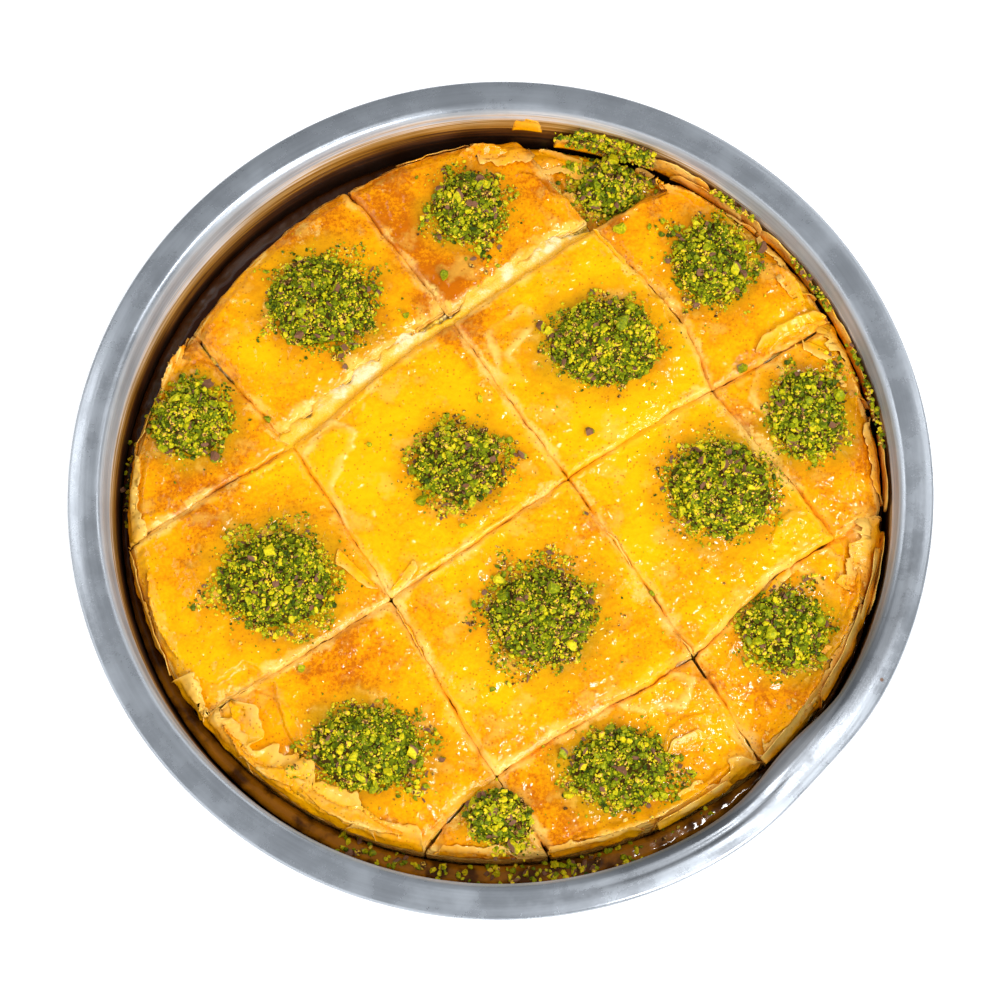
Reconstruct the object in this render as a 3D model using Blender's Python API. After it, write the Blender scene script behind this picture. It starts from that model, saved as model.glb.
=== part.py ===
# A tray of kullaj: sheets of syrupy pastry over cream, baked in a round metal tin and cut
# into fifteen uneven slices, each with a mound of ground pistachio.
# +Z is up and the origin is on the table under the tin's centre. Sizes are in millimetres:
# new_object turns them into metres.

import random
from math import atan2, cos, exp, hypot, pi, radians, sin, tau

import bmesh
import bpy
from mathutils import Matrix, Vector, noise
from mathutils.bvhtree import BVHTree
from mathutils.geometry import intersect_line_line_2d

MM = 0.001
CLEARANCE = 0.3  # between one piece and the next
SEGMENTS = 60  # round the tin

# Tin
RIM_RADIUS = 150.0
TIN_HEIGHT = 48.0
SHEET = 1.4
FLOOR_RADIUS = 129.5  # the flat floor, inside
WALL_FOOT_RADIUS = 135.5  # inside, above the corner
WALL_TOP_RADIUS = 137.8  # inside, below the shoulder
SHOULDER_RADIUS = 3.4
FLANGE_DROP = 0.7  # the flange slopes down this much to its edge
BEAD_RADIUS = 1.3  # the edge is rolled under
DENT_ANGLE = radians(-43)
DENT_DEPTH = 4.2
DENT_SPREAD = radians(6)

# Layers, as heights above the table
BASE_BOTTOM = SHEET + CLEARANCE
BASE_TOP = 7.0
BASE_TURN_UP = 3.0  # the bottom sheets' edge rises this much round the tin's corner
BASE_FOOT_RADIUS = 128.5
SYRUP_LEVEL = 18.0
CRUST_THICKNESS = 4.2
SKIRT_THICKNESS = 4.6  # where the top sheets fold down outside the cream

# The pastry's edge, as its radius every 30 degrees from +X
PASTRY_RADII = (133, 133.5, 133, 133, 127, 125.5, 131, 130, 128.5, 127.5, 128, 133)

# Knife cuts as points (x, y), rising from lower left to upper right
RISING_CUTS = (
    ((-150, -32), (-100, 1), (-73, 17), (-36, 49), (14, 84), (50, 109), (100, 133)),
    ((-135, -100), (-69, -58), (-10, -19), (49, 23), (106, 56), (150, 90)),
    ((-42, -146), (-11, -108), (19, -86), (67, -58), (96, -29), (150, 4)),
)
# and falling from upper left to lower right
FALLING_CUTS = (
    ((-138, 98), (-97, 43), (-73, 17), (-37, -38), (-2, -98), (34, -148)),
    ((-88, 150), (-36, 88), (24, 5), (67, -58), (108, -124)),
    ((-12, 154), (34, 97), (65, 62), (74, 38), (101, 5), (140, -50)),
)
CUT_STEP = 18.0  # length of the straight pieces that follow a cut
LEAST_EDGE = 6.0  # points of an outline keep this far from its corners
NEARLY_STRAIGHT = 0.3  # sine of the least turn that counts as a corner
HALF_CUT = 0.45
CUT_EDGE = 1.6  # how far a slice's top edge is rounded along a cut
RIM_EDGE = 5.5  # and along the rim
EDGE_DROP = {"cut": 1.5, "rim": 7.0}
SIDE_TO_TOP = ((0, 1), (0.32, 0.42), (1, 0.07))  # the rounding, as shares of its width and drop
MIDDLE_WIDTH = 0.8  # share of the slice that the level middle covers
MIDDLE_UNEVEN = 0.3  # and how much it sinks and waves

# The first rising cut gapes north of these slices: their crust is torn back from it
TORN_BACK = {1: 4.0, 2: 5.5}
CREAM_TORN_BACK = 0.7  # the cream's top goes back by this share of it
ROOM_BELOW = 5.0  # the hollow for the cream is cut this far past the crust's foot
ROOM_BESIDE = 3.0  # and this far past its cut sides

# Slices by row, from left to right, and the height of each one's top
ROWS = ((3, 2, 1, 4), (8, 7, 6, 5), (12, 11, 10, 9), (15, 14, 13))
SLICE_TOP = {
    1: 35.0, 2: 35.5, 3: 34.5, 4: 28.5, 5: 35.0,
    6: 36.0, 7: 35.5, 8: 35.0, 9: 34.5, 10: 35.5,
    11: 36.0, 12: 34.5, 13: 33.5, 14: 34.0, 15: 34.0,
}  # fmt: skip

# Mounds of ground pistachio: centre x, y and half-widths across x and y
MOUNDS = {
    1: (-12, 106, 12.5, 14.5), 2: (-64, 69, 18.5, 17), 3: (-109, 26, 13.5, 13),
    4: (38, 114, 11.5, 10), 5: (75, 84, 13.5, 15), 6: (37, 55, 19, 15.5),
    7: (-15, 11, 15.5, 14), 8: (-78, -32, 19, 17.5), 9: (108, 30, 13, 16),
    10: (77, 1, 17.5, 17), 11: (15, -44, 18, 16.5), 12: (-45, -90, 20, 14),
    13: (98, -48, 14.5, 14), 14: (42, -96, 17, 13.5), 15: (1, -114, 11.5, 9.5),
}  # fmt: skip
MOUND_HEIGHT = 7.0
PIECES_PER_MOUND = 5
PIECE_SIZES = (3.5, 8.0)  # the coarsest bits of kernel, as widths
PIECE_RISE = 0.09  # how far a piece's middle stands above the heap, as a share of its size
PIECE_REACH = 0.84  # share of the heap's half-width that they cover
PIECE_TURN = 2.4  # radians from one to the next, which spreads them evenly
HEAP_ROUGHNESS = 0.9  # height of the bumps on the heap
HEAP_FOOT = 0.15  # what is fused on stays this far above the foot

# Torn sheets that stand along the rim: slice, first and last angle in degrees, radius,
# width, and how far the outer side stands above the slice
RIM_SHEETS = (
    (13, -11, -28, 127.0, 6.0, 2.4),
    (13, -26, -44, 126.0, 5.5, 2.8),
    (5, 64, 47, 128.5, 3.0, 3.0),
    (5, 41, 33, 128.0, 5.0, 2.6),
    (9, 24, 13, 128.5, 5.0, 2.2),
    (12, -139, -124, 125.0, 6.5, 1.6),
    (12, -123, -105, 123.5, 7.0, 2.0),
    (14, -50, -78, 123.5, 5.0, 1.2),
    (8, -167, -152, 125.5, 5.0, 1.8),
    (3, 154, 164, 125.0, 4.0, 1.4),
    (1, 89, 97, 127.0, 6.0, 2.2),
)
# Loose flakes on top: slice, centre x, y, length, width, heading in degrees
FLAKES = (
    (12, -78, -80, 24, 12, -44),
    (12, -58, -108, 28, 8, -26),
    (10, 101, -13, 18, 10, 45),
    (13, 105, -71, 16, 8, 56),
    (14, 66, -85, 20, 12, 35),
    (1, 12, 112, 18, 9, -40),
    (8, -110, -34, 20, 10, -70),
    (9, 119, 8, 16, 8, -80),
)
FLAKE_THICKNESS = 1.0
FLAKE_SINK = (1.9, 0.3)  # how deep a flake's two long sides lie in the slice's top
RIM_SHEET_SINK = 1.6  # and how deep a standing sheet's inner side does
RIM_SHEET_SLOPE = 1.2
RIM_SHEET_WAVE = 0.9
SHEET_STEP = 5.0  # degrees between the points along it

FINISHES = {  # colour, roughness, metallic
    "tin": ((0.62, 0.65, 0.69), 0.32, 1.0),
    "syrup": ((0.28, 0.09, 0.01), 0.08, 0.0),
    "base": ((0.72, 0.38, 0.07), 0.45, 0.0),
    "crust": ((0.90, 0.52, 0.03), 0.28, 0.0),
    "cream": ((0.94, 0.86, 0.62), 0.50, 0.0),
    "pistachio": ((0.30, 0.46, 0.04), 0.60, 0.0),
}


# Scene helpers


def clear_scene():
    for obj in list(bpy.data.objects):
        bpy.data.objects.remove(obj)


def make_material(name):
    colour, roughness, metallic = FINISHES[name]
    material = bpy.data.materials.new(name)
    material.use_nodes = True
    shader = material.node_tree.nodes["Principled BSDF"]
    shader.inputs["Base Color"].default_value = (*colour, 1)
    shader.inputs["Roughness"].default_value = roughness
    shader.inputs["Metallic"].default_value = metallic
    material.diffuse_color = (*colour, 1)
    return material


def new_object(name, bm, at=(0, 0, 0)):
    """An object from a bmesh in millimetres, at a place in millimetres."""
    bmesh.ops.transform(bm, matrix=Matrix.Scale(MM, 4), verts=bm.verts)
    bmesh.ops.recalc_face_normals(bm, faces=bm.faces)
    mesh = bpy.data.meshes.new(name)
    bm.to_mesh(mesh)
    bm.free()
    obj = bpy.data.objects.new(name, mesh)
    obj.location = Vector(at) * MM
    bpy.context.scene.collection.objects.link(obj)
    return obj


def finish(obj, material, parent, sharp_angle=40):
    """Give a finished piece its material, shading and parent."""
    obj.data.materials.clear()
    obj.data.materials.append(material)
    obj.data.shade_smooth()
    obj.data.set_sharp_from_angle(angle=radians(sharp_angle))
    obj.parent = parent


def apply_booleans(obj, cutters=(), additions=()):
    """Fuse additions to an object, cut cutters out of it, and remove both."""
    for operation, others in (("UNION", additions), ("DIFFERENCE", cutters)):
        if not others:
            continue
        group = bpy.data.collections.new(f"{obj.name} {operation.lower()}")
        bpy.context.scene.collection.children.link(group)
        for other in others:
            bpy.context.scene.collection.objects.unlink(other)
            group.objects.link(other)
        boolean = obj.modifiers.new(operation.title(), "BOOLEAN")
        boolean.operation = operation
        boolean.operand_type = "COLLECTION"
        boolean.collection = group
        boolean.solver = "EXACT"
    graph = bpy.context.evaluated_depsgraph_get()
    joined = bpy.data.meshes.new_from_object(obj.evaluated_get(graph))
    for modifier in list(obj.modifiers):
        for other in list(modifier.collection.objects):
            bpy.data.objects.remove(other)
        bpy.data.collections.remove(modifier.collection)
    obj.modifiers.clear()
    obj.data = joined


# Curves


def smooth_between(a, b, c, d, t):
    """Place at share t from b to c on a smooth curve through a, b, c and d."""
    return b + 0.5 * t * (c - a + t * (2 * a - 5 * b + 4 * c - d + t * (3 * (b - c) + d - a)))


def through(points, step):
    """Points about step apart on a smooth curve through the given points."""
    points = [Vector(p) for p in points]
    ends = [points[0], *points, points[-1]]
    curve = []
    for a, b, c, d in zip(ends, ends[1:], ends[2:], ends[3:]):
        pieces = max(1, round((c - b).length / step))
        curve += [smooth_between(a, b, c, d, k / pieces) for k in range(pieces)]
    return [*curve, points[-1]]


def pastry_radius(angle):
    """Radius of the pastry's edge, from the values every 30 degrees."""
    place = (angle % tau) / tau * len(PASTRY_RADII)
    i = int(place)
    near = (PASTRY_RADII[(i + j) % len(PASTRY_RADII)] for j in (-1, 0, 1, 2))
    return smooth_between(*near, place - i)


def polar(radius, angle, z=0.0):
    return Vector((radius * cos(angle), radius * sin(angle), z))


def tin_angles():
    return [tau * i / SEGMENTS for i in range(SEGMENTS)]


# Meshes from rings of points


def bridge(bm, lower, upper):
    """Faces between two rings with the same number of vertices."""
    count = len(lower)
    for i in range(count):
        j = (i + 1) % count
        bm.faces.new((lower[i], lower[j], upper[j], upper[i]))


def loft(rings, hollow=False):
    """A bmesh through rings of points: closed by a fan at each end, or a hollow ring."""
    bm = bmesh.new()
    made = [[bm.verts.new(point) for point in ring] for ring in rings]
    for lower, upper in zip(made, made[1:]):
        bridge(bm, lower, upper)
    if hollow:
        bridge(bm, made[-1], made[0])
        return bm
    for ring in (made[0], made[-1]):
        middle = bm.verts.new(sum((v.co for v in ring), Vector()) / len(ring))
        for i, vertex in enumerate(ring):
            bm.faces.new((vertex, ring[(i + 1) % len(ring)], middle))
    return bm


# Tin


def arc(centre, radius, first, last, steps):
    """Points (r, z) on an arc, with angles in degrees."""
    return [
        (
            centre[0] + radius * cos(radians(first + (last - first) * i / steps)),
            centre[1] + radius * sin(radians(first + (last - first) * i / steps)),
        )
        for i in range(steps + 1)
    ]


def tin_profile():
    """The tin's section (r, z): inside from the centre out, then outside back."""
    corner = WALL_FOOT_RADIUS - FLOOR_RADIUS
    corner_centre = (FLOOR_RADIUS, SHEET + corner)
    shoulder_centre = (WALL_TOP_RADIUS + SHOULDER_RADIUS, TIN_HEIGHT - SHOULDER_RADIUS)
    bead_centre = (RIM_RADIUS - BEAD_RADIUS, TIN_HEIGHT - FLANGE_DROP - BEAD_RADIUS)
    return (
        [(0, SHEET)]
        + arc(corner_centre, corner, -90, 0, 3)
        + arc(shoulder_centre, SHOULDER_RADIUS, 180, 90, 3)
        + arc(bead_centre, BEAD_RADIUS, 90, -150, 3)
        + arc(shoulder_centre, SHOULDER_RADIUS - SHEET, 90, 180, 1)
        + arc(corner_centre, corner + SHEET, 0, -90, 2)
        + [(0, 0)]
    )


def wall_share(z):
    """Height as a share of the straight wall, from the corner to the shoulder."""
    foot = SHEET + WALL_FOOT_RADIUS - FLOOR_RADIUS
    return (z - foot) / (TIN_HEIGHT - SHOULDER_RADIUS - foot)


def dent_at(angle, z):
    """How far the wall is pushed in at an angle and height. It fades towards the foot."""
    turn = (angle - DENT_ANGLE + pi) % tau - pi
    rise = min(1, max(0, wall_share(z)))
    return DENT_DEPTH * exp(-0.5 * (turn / DENT_SPREAD) ** 2) * rise


def make_tin():
    bm = bmesh.new()
    profile = [bm.verts.new((r, 0, z)) for r, z in tin_profile()]
    edges = [bm.edges.new(pair) for pair in zip(profile, profile[1:])]
    bmesh.ops.spin(
        bm, geom=profile + edges, axis=(0, 0, 1), cent=(0, 0, 0), angle=tau, steps=SEGMENTS
    )
    bmesh.ops.remove_doubles(bm, verts=bm.verts, dist=0.01)
    for vertex in bm.verts:
        x, y, z = vertex.co
        radius = hypot(x, y)
        if radius > FLOOR_RADIUS:
            beyond = max(0, radius - WALL_TOP_RADIUS) / (RIM_RADIUS - WALL_TOP_RADIUS)
            pushed = dent_at(atan2(y, x), z) * (1 - 0.6 * beyond)
            vertex.co.xy *= 1 - pushed / radius
    return new_object("tin", bm)


def wall_radius(z):
    """Inner radius of the tin's wall at a height."""
    corner = WALL_FOOT_RADIUS - FLOOR_RADIUS
    if z < SHEET + corner:
        return FLOOR_RADIUS + (corner**2 - (SHEET + corner - z) ** 2) ** 0.5
    return WALL_FOOT_RADIUS + (WALL_TOP_RADIUS - WALL_FOOT_RADIUS) * wall_share(z)


# Pastry


def base_edge(angle, z):
    """Radius of the bottom sheets' edge, which turns up round the tin's corner."""
    share = min(1, (z - BASE_BOTTOM) / BASE_TURN_UP)
    return BASE_FOOT_RADIUS + (pastry_radius(angle) - BASE_FOOT_RADIUS) * share


def make_base():
    """The sheets under the cream, uncut: the cuts stop on them."""
    heights = (BASE_BOTTOM, BASE_BOTTOM + BASE_TURN_UP, BASE_TOP)
    rings = [[polar(base_edge(a, z), a, z) for a in tin_angles()] for z in heights]
    return new_object("bottom_crust", loft(rings))


def make_syrup():
    """The ring of syrup that stands between the pastry and the tin."""
    low = BASE_BOTTOM + 0.5
    turn = BASE_BOTTOM + BASE_TURN_UP

    def ring(radius_at, z):
        return [polar(radius_at(a, z), a, z) for a in tin_angles()]

    def at_base(angle, z):
        return base_edge(angle, z) + 2 * CLEARANCE

    def at_wall(angle, z):
        return wall_radius(z) - dent_at(angle, z) - 2 * CLEARANCE

    rings = [ring(at_base, low), ring(at_wall, low), ring(at_wall, turn)]
    rings += [ring(at_wall, SYRUP_LEVEL), ring(at_base, SYRUP_LEVEL), ring(at_base, turn)]
    return new_object("syrup", loft(rings, hollow=True))


def split(outline, cut):
    """A closed outline's parts left and right of a cut. Each point has its next edge's name."""
    name, path = cut
    hits = []
    for i, (a, _) in enumerate(outline):
        b = outline[(i + 1) % len(outline)][0]
        for j, (c, d) in enumerate(zip(path, path[1:])):
            place = intersect_line_line_2d(a, b, c, d)
            if place:
                hits.append((j, (place - c).length, i, place))
    hits.sort()
    (j0, _, i0, start), (j1, _, i1, end) = hits[0], hits[-1]

    def clear_of_ends(places):
        return [p for p in places if min((p[0] - start).length, (p[0] - end).length) > LEAST_EDGE]

    along = clear_of_ends([(p, name) for p in path[j0 + 1 : j1 + 1]])
    back = along[::-1]
    count = len(outline)
    right = [outline[k % count] for k in range(i0 + 1, i0 + 1 + (i1 - i0) % count)]
    left = [outline[k % count] for k in range(i1 + 1, i1 + 1 + (i0 - i1) % count)]
    return (
        clear_of_ends(left) + [(start, name), *along, (end, outline[i1][1])],
        clear_of_ends(right) + [(end, name), *back, (start, outline[i0][1])],
    )


def slice_outlines():
    """Every slice's outline, counterclockwise, with the name of the edge at each point."""
    whole = [(polar(pastry_radius(a), a).xy, "rim") for a in tin_angles()]
    rising = [(f"rising {i}", through(c, CUT_STEP)) for i, c in enumerate(RISING_CUTS)]
    falling = [(f"falling {i}", through(c, CUT_STEP)) for i, c in enumerate(FALLING_CUTS)]
    rows = []
    rest = whole
    for cut in rising:
        above, rest = split(rest, cut)
        rows.append(above)
    rows.append(rest)
    outlines = {}
    for numbers, rest in zip(ROWS, rows):
        cuts = falling[: len(numbers) - 1]
        for number, cut in zip(numbers, cuts):
            rest, outlines[number] = split(rest, cut)
        outlines[numbers[-1]] = rest
    return outlines


def moved_in(outline, depth_of):
    """The outline with each edge moved inwards by the depth for its name."""
    lines = []
    for (a, name), (b, _) in zip(outline, outline[1:] + outline[:1]):
        along = (b - a).normalized()
        inward = Vector((-along.y, along.x))
        lines.append((a + inward * depth_of(name, a), b + inward * depth_of(name, b), along))
    moved = []
    for i, (begin, _, after) in enumerate(lines):
        _, end, before = lines[i - 1]
        turn = before.cross(after)
        if abs(turn) < NEARLY_STRAIGHT:
            moved.append((begin + end) / 2)
        else:
            moved.append(end + before * ((begin - end).cross(after) / turn))
    return moved


def torn_back(number, name, place):
    """Extra depth where a slice's crust is torn back from the gaping cut."""
    if name != "rising 0" or number not in TORN_BACK:
        return 0.0
    return TORN_BACK[number] * (1 - 0.25 * noise.noise(Vector((*place, 0)) * 0.08))


def crust_block(number, outline):
    """A slice's whole outer form, from the base to its rounded top."""
    top = SLICE_TOP[number]

    def ring(share_in, share_down):
        def depth(name, place):
            if name == "rim":
                return RIM_EDGE * share_in
            return HALF_CUT + torn_back(number, name, place) + CUT_EDGE * share_in

        places = moved_in(outline, depth)
        on_rim = [name == "rim" or outline[i - 1][1] == "rim" for i, (_, name) in enumerate(outline)]
        drops = [EDGE_DROP["rim" if rim else "cut"] * share_down for rim in on_rim]
        return [Vector((*p, top - drop)) for p, drop in zip(places, drops)]

    rings = [ring(*shares) for shares in SIDE_TO_TOP]
    foot = [Vector((*p.xy, BASE_TOP + CLEARANCE)) for p in rings[0]]
    middle = sum(rings[-1], Vector()) / len(rings[-1])
    level = [middle.lerp(p, MIDDLE_WIDTH) for p in rings[-1]]
    for point in level:
        point.z = top - MIDDLE_UNEVEN * (1 + noise.noise(point * 0.07))
    return loft([foot, *rings, level])


def under_crust(number, outline, low, growth, beside, back):
    """A block under a slice's crust and inside its skirt, larger than the cream by growth."""
    top = SLICE_TOP[number] - CRUST_THICKNESS - CLEARANCE + growth

    def ring(share_back, z):
        def depth(name, place):
            if name == "rim":
                return SKIRT_THICKNESS + CLEARANCE - growth
            return HALF_CUT - beside + share_back * torn_back(number, name, place)

        return [Vector((*p, z)) for p in moved_in(outline, depth)]

    return loft([ring(0, low), ring(back, top)])


def sheet_between(inner, outer, thickness):
    """A thin sheet between two lines of points, thickened upwards."""
    rows = [inner, outer]
    bm = bmesh.new()
    lower = [[bm.verts.new(p) for p in row] for row in rows]
    upper = [[bm.verts.new(p + Vector((0, 0, thickness))) for p in row] for row in rows]
    last = len(inner) - 1
    for i in range(last):
        bm.faces.new((lower[0][i], lower[0][i + 1], lower[1][i + 1], lower[1][i]))
        bm.faces.new((upper[0][i], upper[1][i], upper[1][i + 1], upper[0][i + 1]))
        bm.faces.new((lower[0][i], upper[0][i], upper[0][i + 1], lower[0][i + 1]))
        bm.faces.new((lower[1][i], lower[1][i + 1], upper[1][i + 1], upper[1][i]))
    for i in (0, last):
        bm.faces.new((lower[0][i], lower[1][i], upper[1][i], upper[0][i]))
    bmesh.ops.triangulate(bm, faces=bm.faces)
    return bm


def rim_sheet(number, first, last, radius, width, lift):
    """A torn sheet that curls up along the rim."""
    steps = max(3, round(abs(last - first) / SHEET_STEP))
    floor = SLICE_TOP[number] - RIM_SHEET_SINK
    inner, outer = [], []
    for i in range(steps + 1):
        share = i / steps
        angle = radians(first + (last - first) * share)
        swell = 0.2 + 0.8 * sin(pi * share) ** 0.7
        wave = RIM_SHEET_WAVE * noise.noise(Vector((number, first, share * 6)))
        inner.append(polar(radius - width * 0.5 * swell, angle, floor))
        reach = radius + width * 0.5 * swell + wave
        outer.append(polar(reach, angle, floor + RIM_SHEET_SLOPE + (lift + wave) * swell))
    return sheet_between(inner, outer, FLAKE_THICKNESS)


def flake(number, x, y, length, width, heading):
    """A loose flake: its near side is sunk in the crust, the far side lifts."""
    steps = 4
    along = Vector((cos(radians(heading)), sin(radians(heading)), 0))
    across = Vector((-along.y, along.x, 0))
    middle = Vector((x, y, SLICE_TOP[number]))
    inner, outer = [], []
    for i in range(steps + 1):
        share = i / steps - 0.5
        ragged = 1 - 3 * share * share + 0.4 * noise.noise(Vector((x, y, share * 9)))
        place = middle + along * length * share
        inner.append(place - across * width * 0.5 * ragged - Vector((0, 0, FLAKE_SINK[0])))
        outer.append(place + across * width * 0.5 * ragged - Vector((0, 0, FLAKE_SINK[1])))
    return sheet_between(inner, outer, FLAKE_THICKNESS)


def make_crust(number, outline):
    crust = new_object(f"crust_{number}", crust_block(number, outline))
    sheets = [rim_sheet(*values) for values in RIM_SHEETS if values[0] == number]
    sheets += [flake(*values) for values in FLAKES if values[0] == number]
    additions = [new_object(f"sheet {i}", bm) for i, bm in enumerate(sheets)]
    low = BASE_TOP - ROOM_BELOW
    room = under_crust(number, outline, low, growth=CLEARANCE, beside=ROOM_BESIDE, back=0)
    apply_booleans(crust, cutters=[new_object("cream room", room)], additions=additions)
    return crust


def make_cream(number, outline):
    """The cream of a slice, which bulges into the gaping cut."""
    low = BASE_TOP + CLEARANCE
    block = under_crust(number, outline, low, growth=0, beside=0, back=CREAM_TORN_BACK)
    return new_object(f"cream_{number}", block)


# Pistachio


def crumb(size, dice):
    """One bit of kernel: a small lump with uneven corners."""
    bm = bmesh.new()
    bmesh.ops.create_icosphere(bm, subdivisions=1, radius=size / 2)
    for vertex in bm.verts:
        vertex.co *= dice.uniform(0.8, 1.15)
    flat = Matrix.Diagonal((1.0, dice.uniform(0.65, 0.9), dice.uniform(0.55, 0.8), 1.0))
    turn = Matrix.Rotation(dice.uniform(0, tau), 4, "Z") @ Matrix.Rotation(
        dice.uniform(-0.6, 0.6), 4, "X"
    )
    bmesh.ops.transform(bm, matrix=turn @ flat, verts=bm.verts)
    return bm


def mound_core(half_x, half_y, dice):
    """The heap under the coarse bits: a low, lumpy dome with an uneven edge and a flat foot."""
    bm = bmesh.new()
    bmesh.ops.create_icosphere(bm, subdivisions=3, radius=1)
    below = [v for v in bm.verts if v.co.z < -0.02]
    bmesh.ops.delete(bm, geom=below, context="VERTS")
    rim = [edge for edge in bm.edges if edge.is_boundary]
    foot = {vertex for edge in rim for vertex in edge.verts}
    start = Vector((dice.uniform(0, 100), 0, 0))
    for vertex in bm.verts:
        x, y, z = vertex.co
        spread = 1 + 0.2 * noise.noise(vertex.co * 1.6 + start) + dice.uniform(-0.05, 0.05)
        bump = dice.uniform(-HEAP_ROUGHNESS, HEAP_ROUGHNESS)
        height = 0 if vertex in foot else MOUND_HEIGHT * z**1.1 + bump
        vertex.co = (x * half_x * spread, y * half_y * spread, max(height, 0))
    bmesh.ops.edgeloop_fill(bm, edges=rim)
    bmesh.ops.triangulate(bm, faces=bm.faces)
    return bm


def make_mound(number):
    x, y, half_x, half_y = MOUNDS[number]
    dice = random.Random(number)
    at = Vector((x, y, SLICE_TOP[number] + CLEARANCE))
    core = mound_core(half_x, half_y, dice)
    surface = BVHTree.FromBMesh(core)
    mound = new_object(f"pistachio_{number}", core, at)
    additions = []
    for i in range(PIECES_PER_MOUND):
        share = (i + 0.5) / PIECES_PER_MOUND
        size = PIECE_SIZES[1] + (PIECE_SIZES[0] - PIECE_SIZES[1]) * share**0.5
        away = PIECE_REACH * share**0.5
        angle = i * PIECE_TURN + dice.uniform(-0.3, 0.3)
        above = Vector((half_x * away * cos(angle), half_y * away * sin(angle), 50))
        place = surface.ray_cast(above, Vector((0, 0, -1)))[0]
        place.z += PIECE_RISE * size
        bm = crumb(size, dice)
        bmesh.ops.translate(bm, vec=place, verts=bm.verts)
        for vertex in bm.verts:
            vertex.co.z = max(vertex.co.z, HEAP_FOOT)
        additions.append(new_object(f"crumb {i}", bm, at))
    apply_booleans(mound, additions=additions)
    return mound


def main():
    clear_scene()
    materials = {name: make_material(name) for name in FINISHES}
    tray = bpy.data.objects.new("kullaj", None)
    bpy.context.scene.collection.objects.link(tray)
    finish(make_tin(), materials["tin"], tray)
    finish(make_base(), materials["base"], tray)
    finish(make_syrup(), materials["syrup"], tray)
    for number, outline in sorted(slice_outlines().items()):
        finish(make_cream(number, outline), materials["cream"], tray)
        finish(make_crust(number, outline), materials["crust"], tray)
        finish(make_mound(number), materials["pistachio"], tray, sharp_angle=25)


main()
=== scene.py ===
import random
from functools import reduce
from math import atan2, cos, exp, hypot, pi, radians, sin, tau

import bmesh
import bpy
from mathutils import Matrix, Vector, noise
from mathutils.bvhtree import BVHTree
from mathutils.kdtree import KDTree


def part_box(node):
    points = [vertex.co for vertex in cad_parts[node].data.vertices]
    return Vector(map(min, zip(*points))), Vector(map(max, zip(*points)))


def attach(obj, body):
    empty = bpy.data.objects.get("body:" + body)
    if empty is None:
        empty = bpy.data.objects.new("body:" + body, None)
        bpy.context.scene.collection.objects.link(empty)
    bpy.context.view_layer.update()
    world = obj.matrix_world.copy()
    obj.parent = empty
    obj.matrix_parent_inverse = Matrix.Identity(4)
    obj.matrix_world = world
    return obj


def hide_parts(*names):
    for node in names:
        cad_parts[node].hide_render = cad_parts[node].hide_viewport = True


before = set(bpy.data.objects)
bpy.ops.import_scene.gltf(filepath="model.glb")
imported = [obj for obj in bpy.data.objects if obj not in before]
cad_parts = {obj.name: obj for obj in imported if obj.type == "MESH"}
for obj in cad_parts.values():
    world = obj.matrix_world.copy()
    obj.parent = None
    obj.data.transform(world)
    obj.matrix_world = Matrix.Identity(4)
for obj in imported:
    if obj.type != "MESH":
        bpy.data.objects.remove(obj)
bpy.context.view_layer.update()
mm = 0.001
sliceNumbers = range(1, 16)
scene = bpy.context.scene


# Small helpers


def smoothStep(low, high, value):
    share = min(1.0, max(0.0, (value - low) / (high - low)))
    return share * share * (3 - 2 * share)


def wave(x, y, z, size, seed=0.0):  # soft noise from -1 to 1 with bumps of that size
    return noise.noise(Vector((x / size + seed, y / size - seed, z / size)))


def nodeShape(name):  # a CAD node as one merged bmesh, in millimetres
    bm = bmesh.new()
    bm.from_mesh(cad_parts[name].data)
    bmesh.ops.remove_doubles(bm, verts=bm.verts, dist=1e-6)
    bmesh.ops.transform(bm, matrix=Matrix.Scale(1 / mm, 4), verts=bm.verts)
    return bm


def boxOf(name):  # lowest and highest corner of a CAD node, in millimetres
    low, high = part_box(name)
    return low / mm, high / mm


def topOf(number):  # height of a slice's crust, in which its mound is sunk a little
    return boxOf(f"pistachio_{number}")[0].z - 0.3


def meshFrom(bm, name):
    mesh = bpy.data.meshes.new(name)
    bm.to_mesh(mesh)
    bm.free()
    return mesh


def linked(name, data):  # a new object in the scene
    made = bpy.data.objects.new(name, data)
    scene.collection.objects.link(made)
    return made


def modified(bm, kind, **settings):  # the shape after a modifier, as a new bmesh
    mesh = meshFrom(bm, "shape")
    holder = linked("shape", mesh)
    modifier = holder.modifiers.new(kind, kind)
    for key, value in settings.items():
        setattr(modifier, key, value)
    result = bmesh.new()
    result.from_object(holder, bpy.context.evaluated_depsgraph_get())
    bpy.data.objects.remove(holder)
    bpy.data.meshes.remove(mesh)
    return result


def remeshed(bm, voxel):  # the same shape as an even net of small faces
    return modified(bm, "REMESH", mode="VOXEL", voxel_size=voxel)


def surfaceUnder(tree, x, y):  # where a plumb line through (x, y) meets a surface
    return tree.ray_cast(Vector((x, y, 70)), Vector((0, 0, -1)))[:2]


def polar(radius, angle):
    return radius * cos(angle), radius * sin(angle)


def finishPiece(name, bm, material, replaced=(), fields=None, smooth=True):
    bmesh.ops.transform(bm, matrix=Matrix.Scale(mm, 4), verts=bm.verts)
    mesh = meshFrom(bm, name)
    if smooth:
        mesh.shade_smooth()
    mesh.materials.append(material)
    for label, values in (fields or {}).items():  # named values at every point, which the materials read
        mesh.attributes.new(label, "FLOAT", "POINT").data.foreach_set("value", values)
    piece = linked(name, mesh)
    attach(piece, "root")
    if replaced:
        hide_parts(*replaced)
    return piece


# Shader helpers: each works in the node tree of the sockets that it is given


def feed(socket, value):  # a link, a number or a colour
    if isinstance(value, bpy.types.NodeSocket):
        socket.id_data.links.new(value, socket)
    else:
        socket.default_value = (*value, 1) if socket.type == "RGBA" else value


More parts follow.
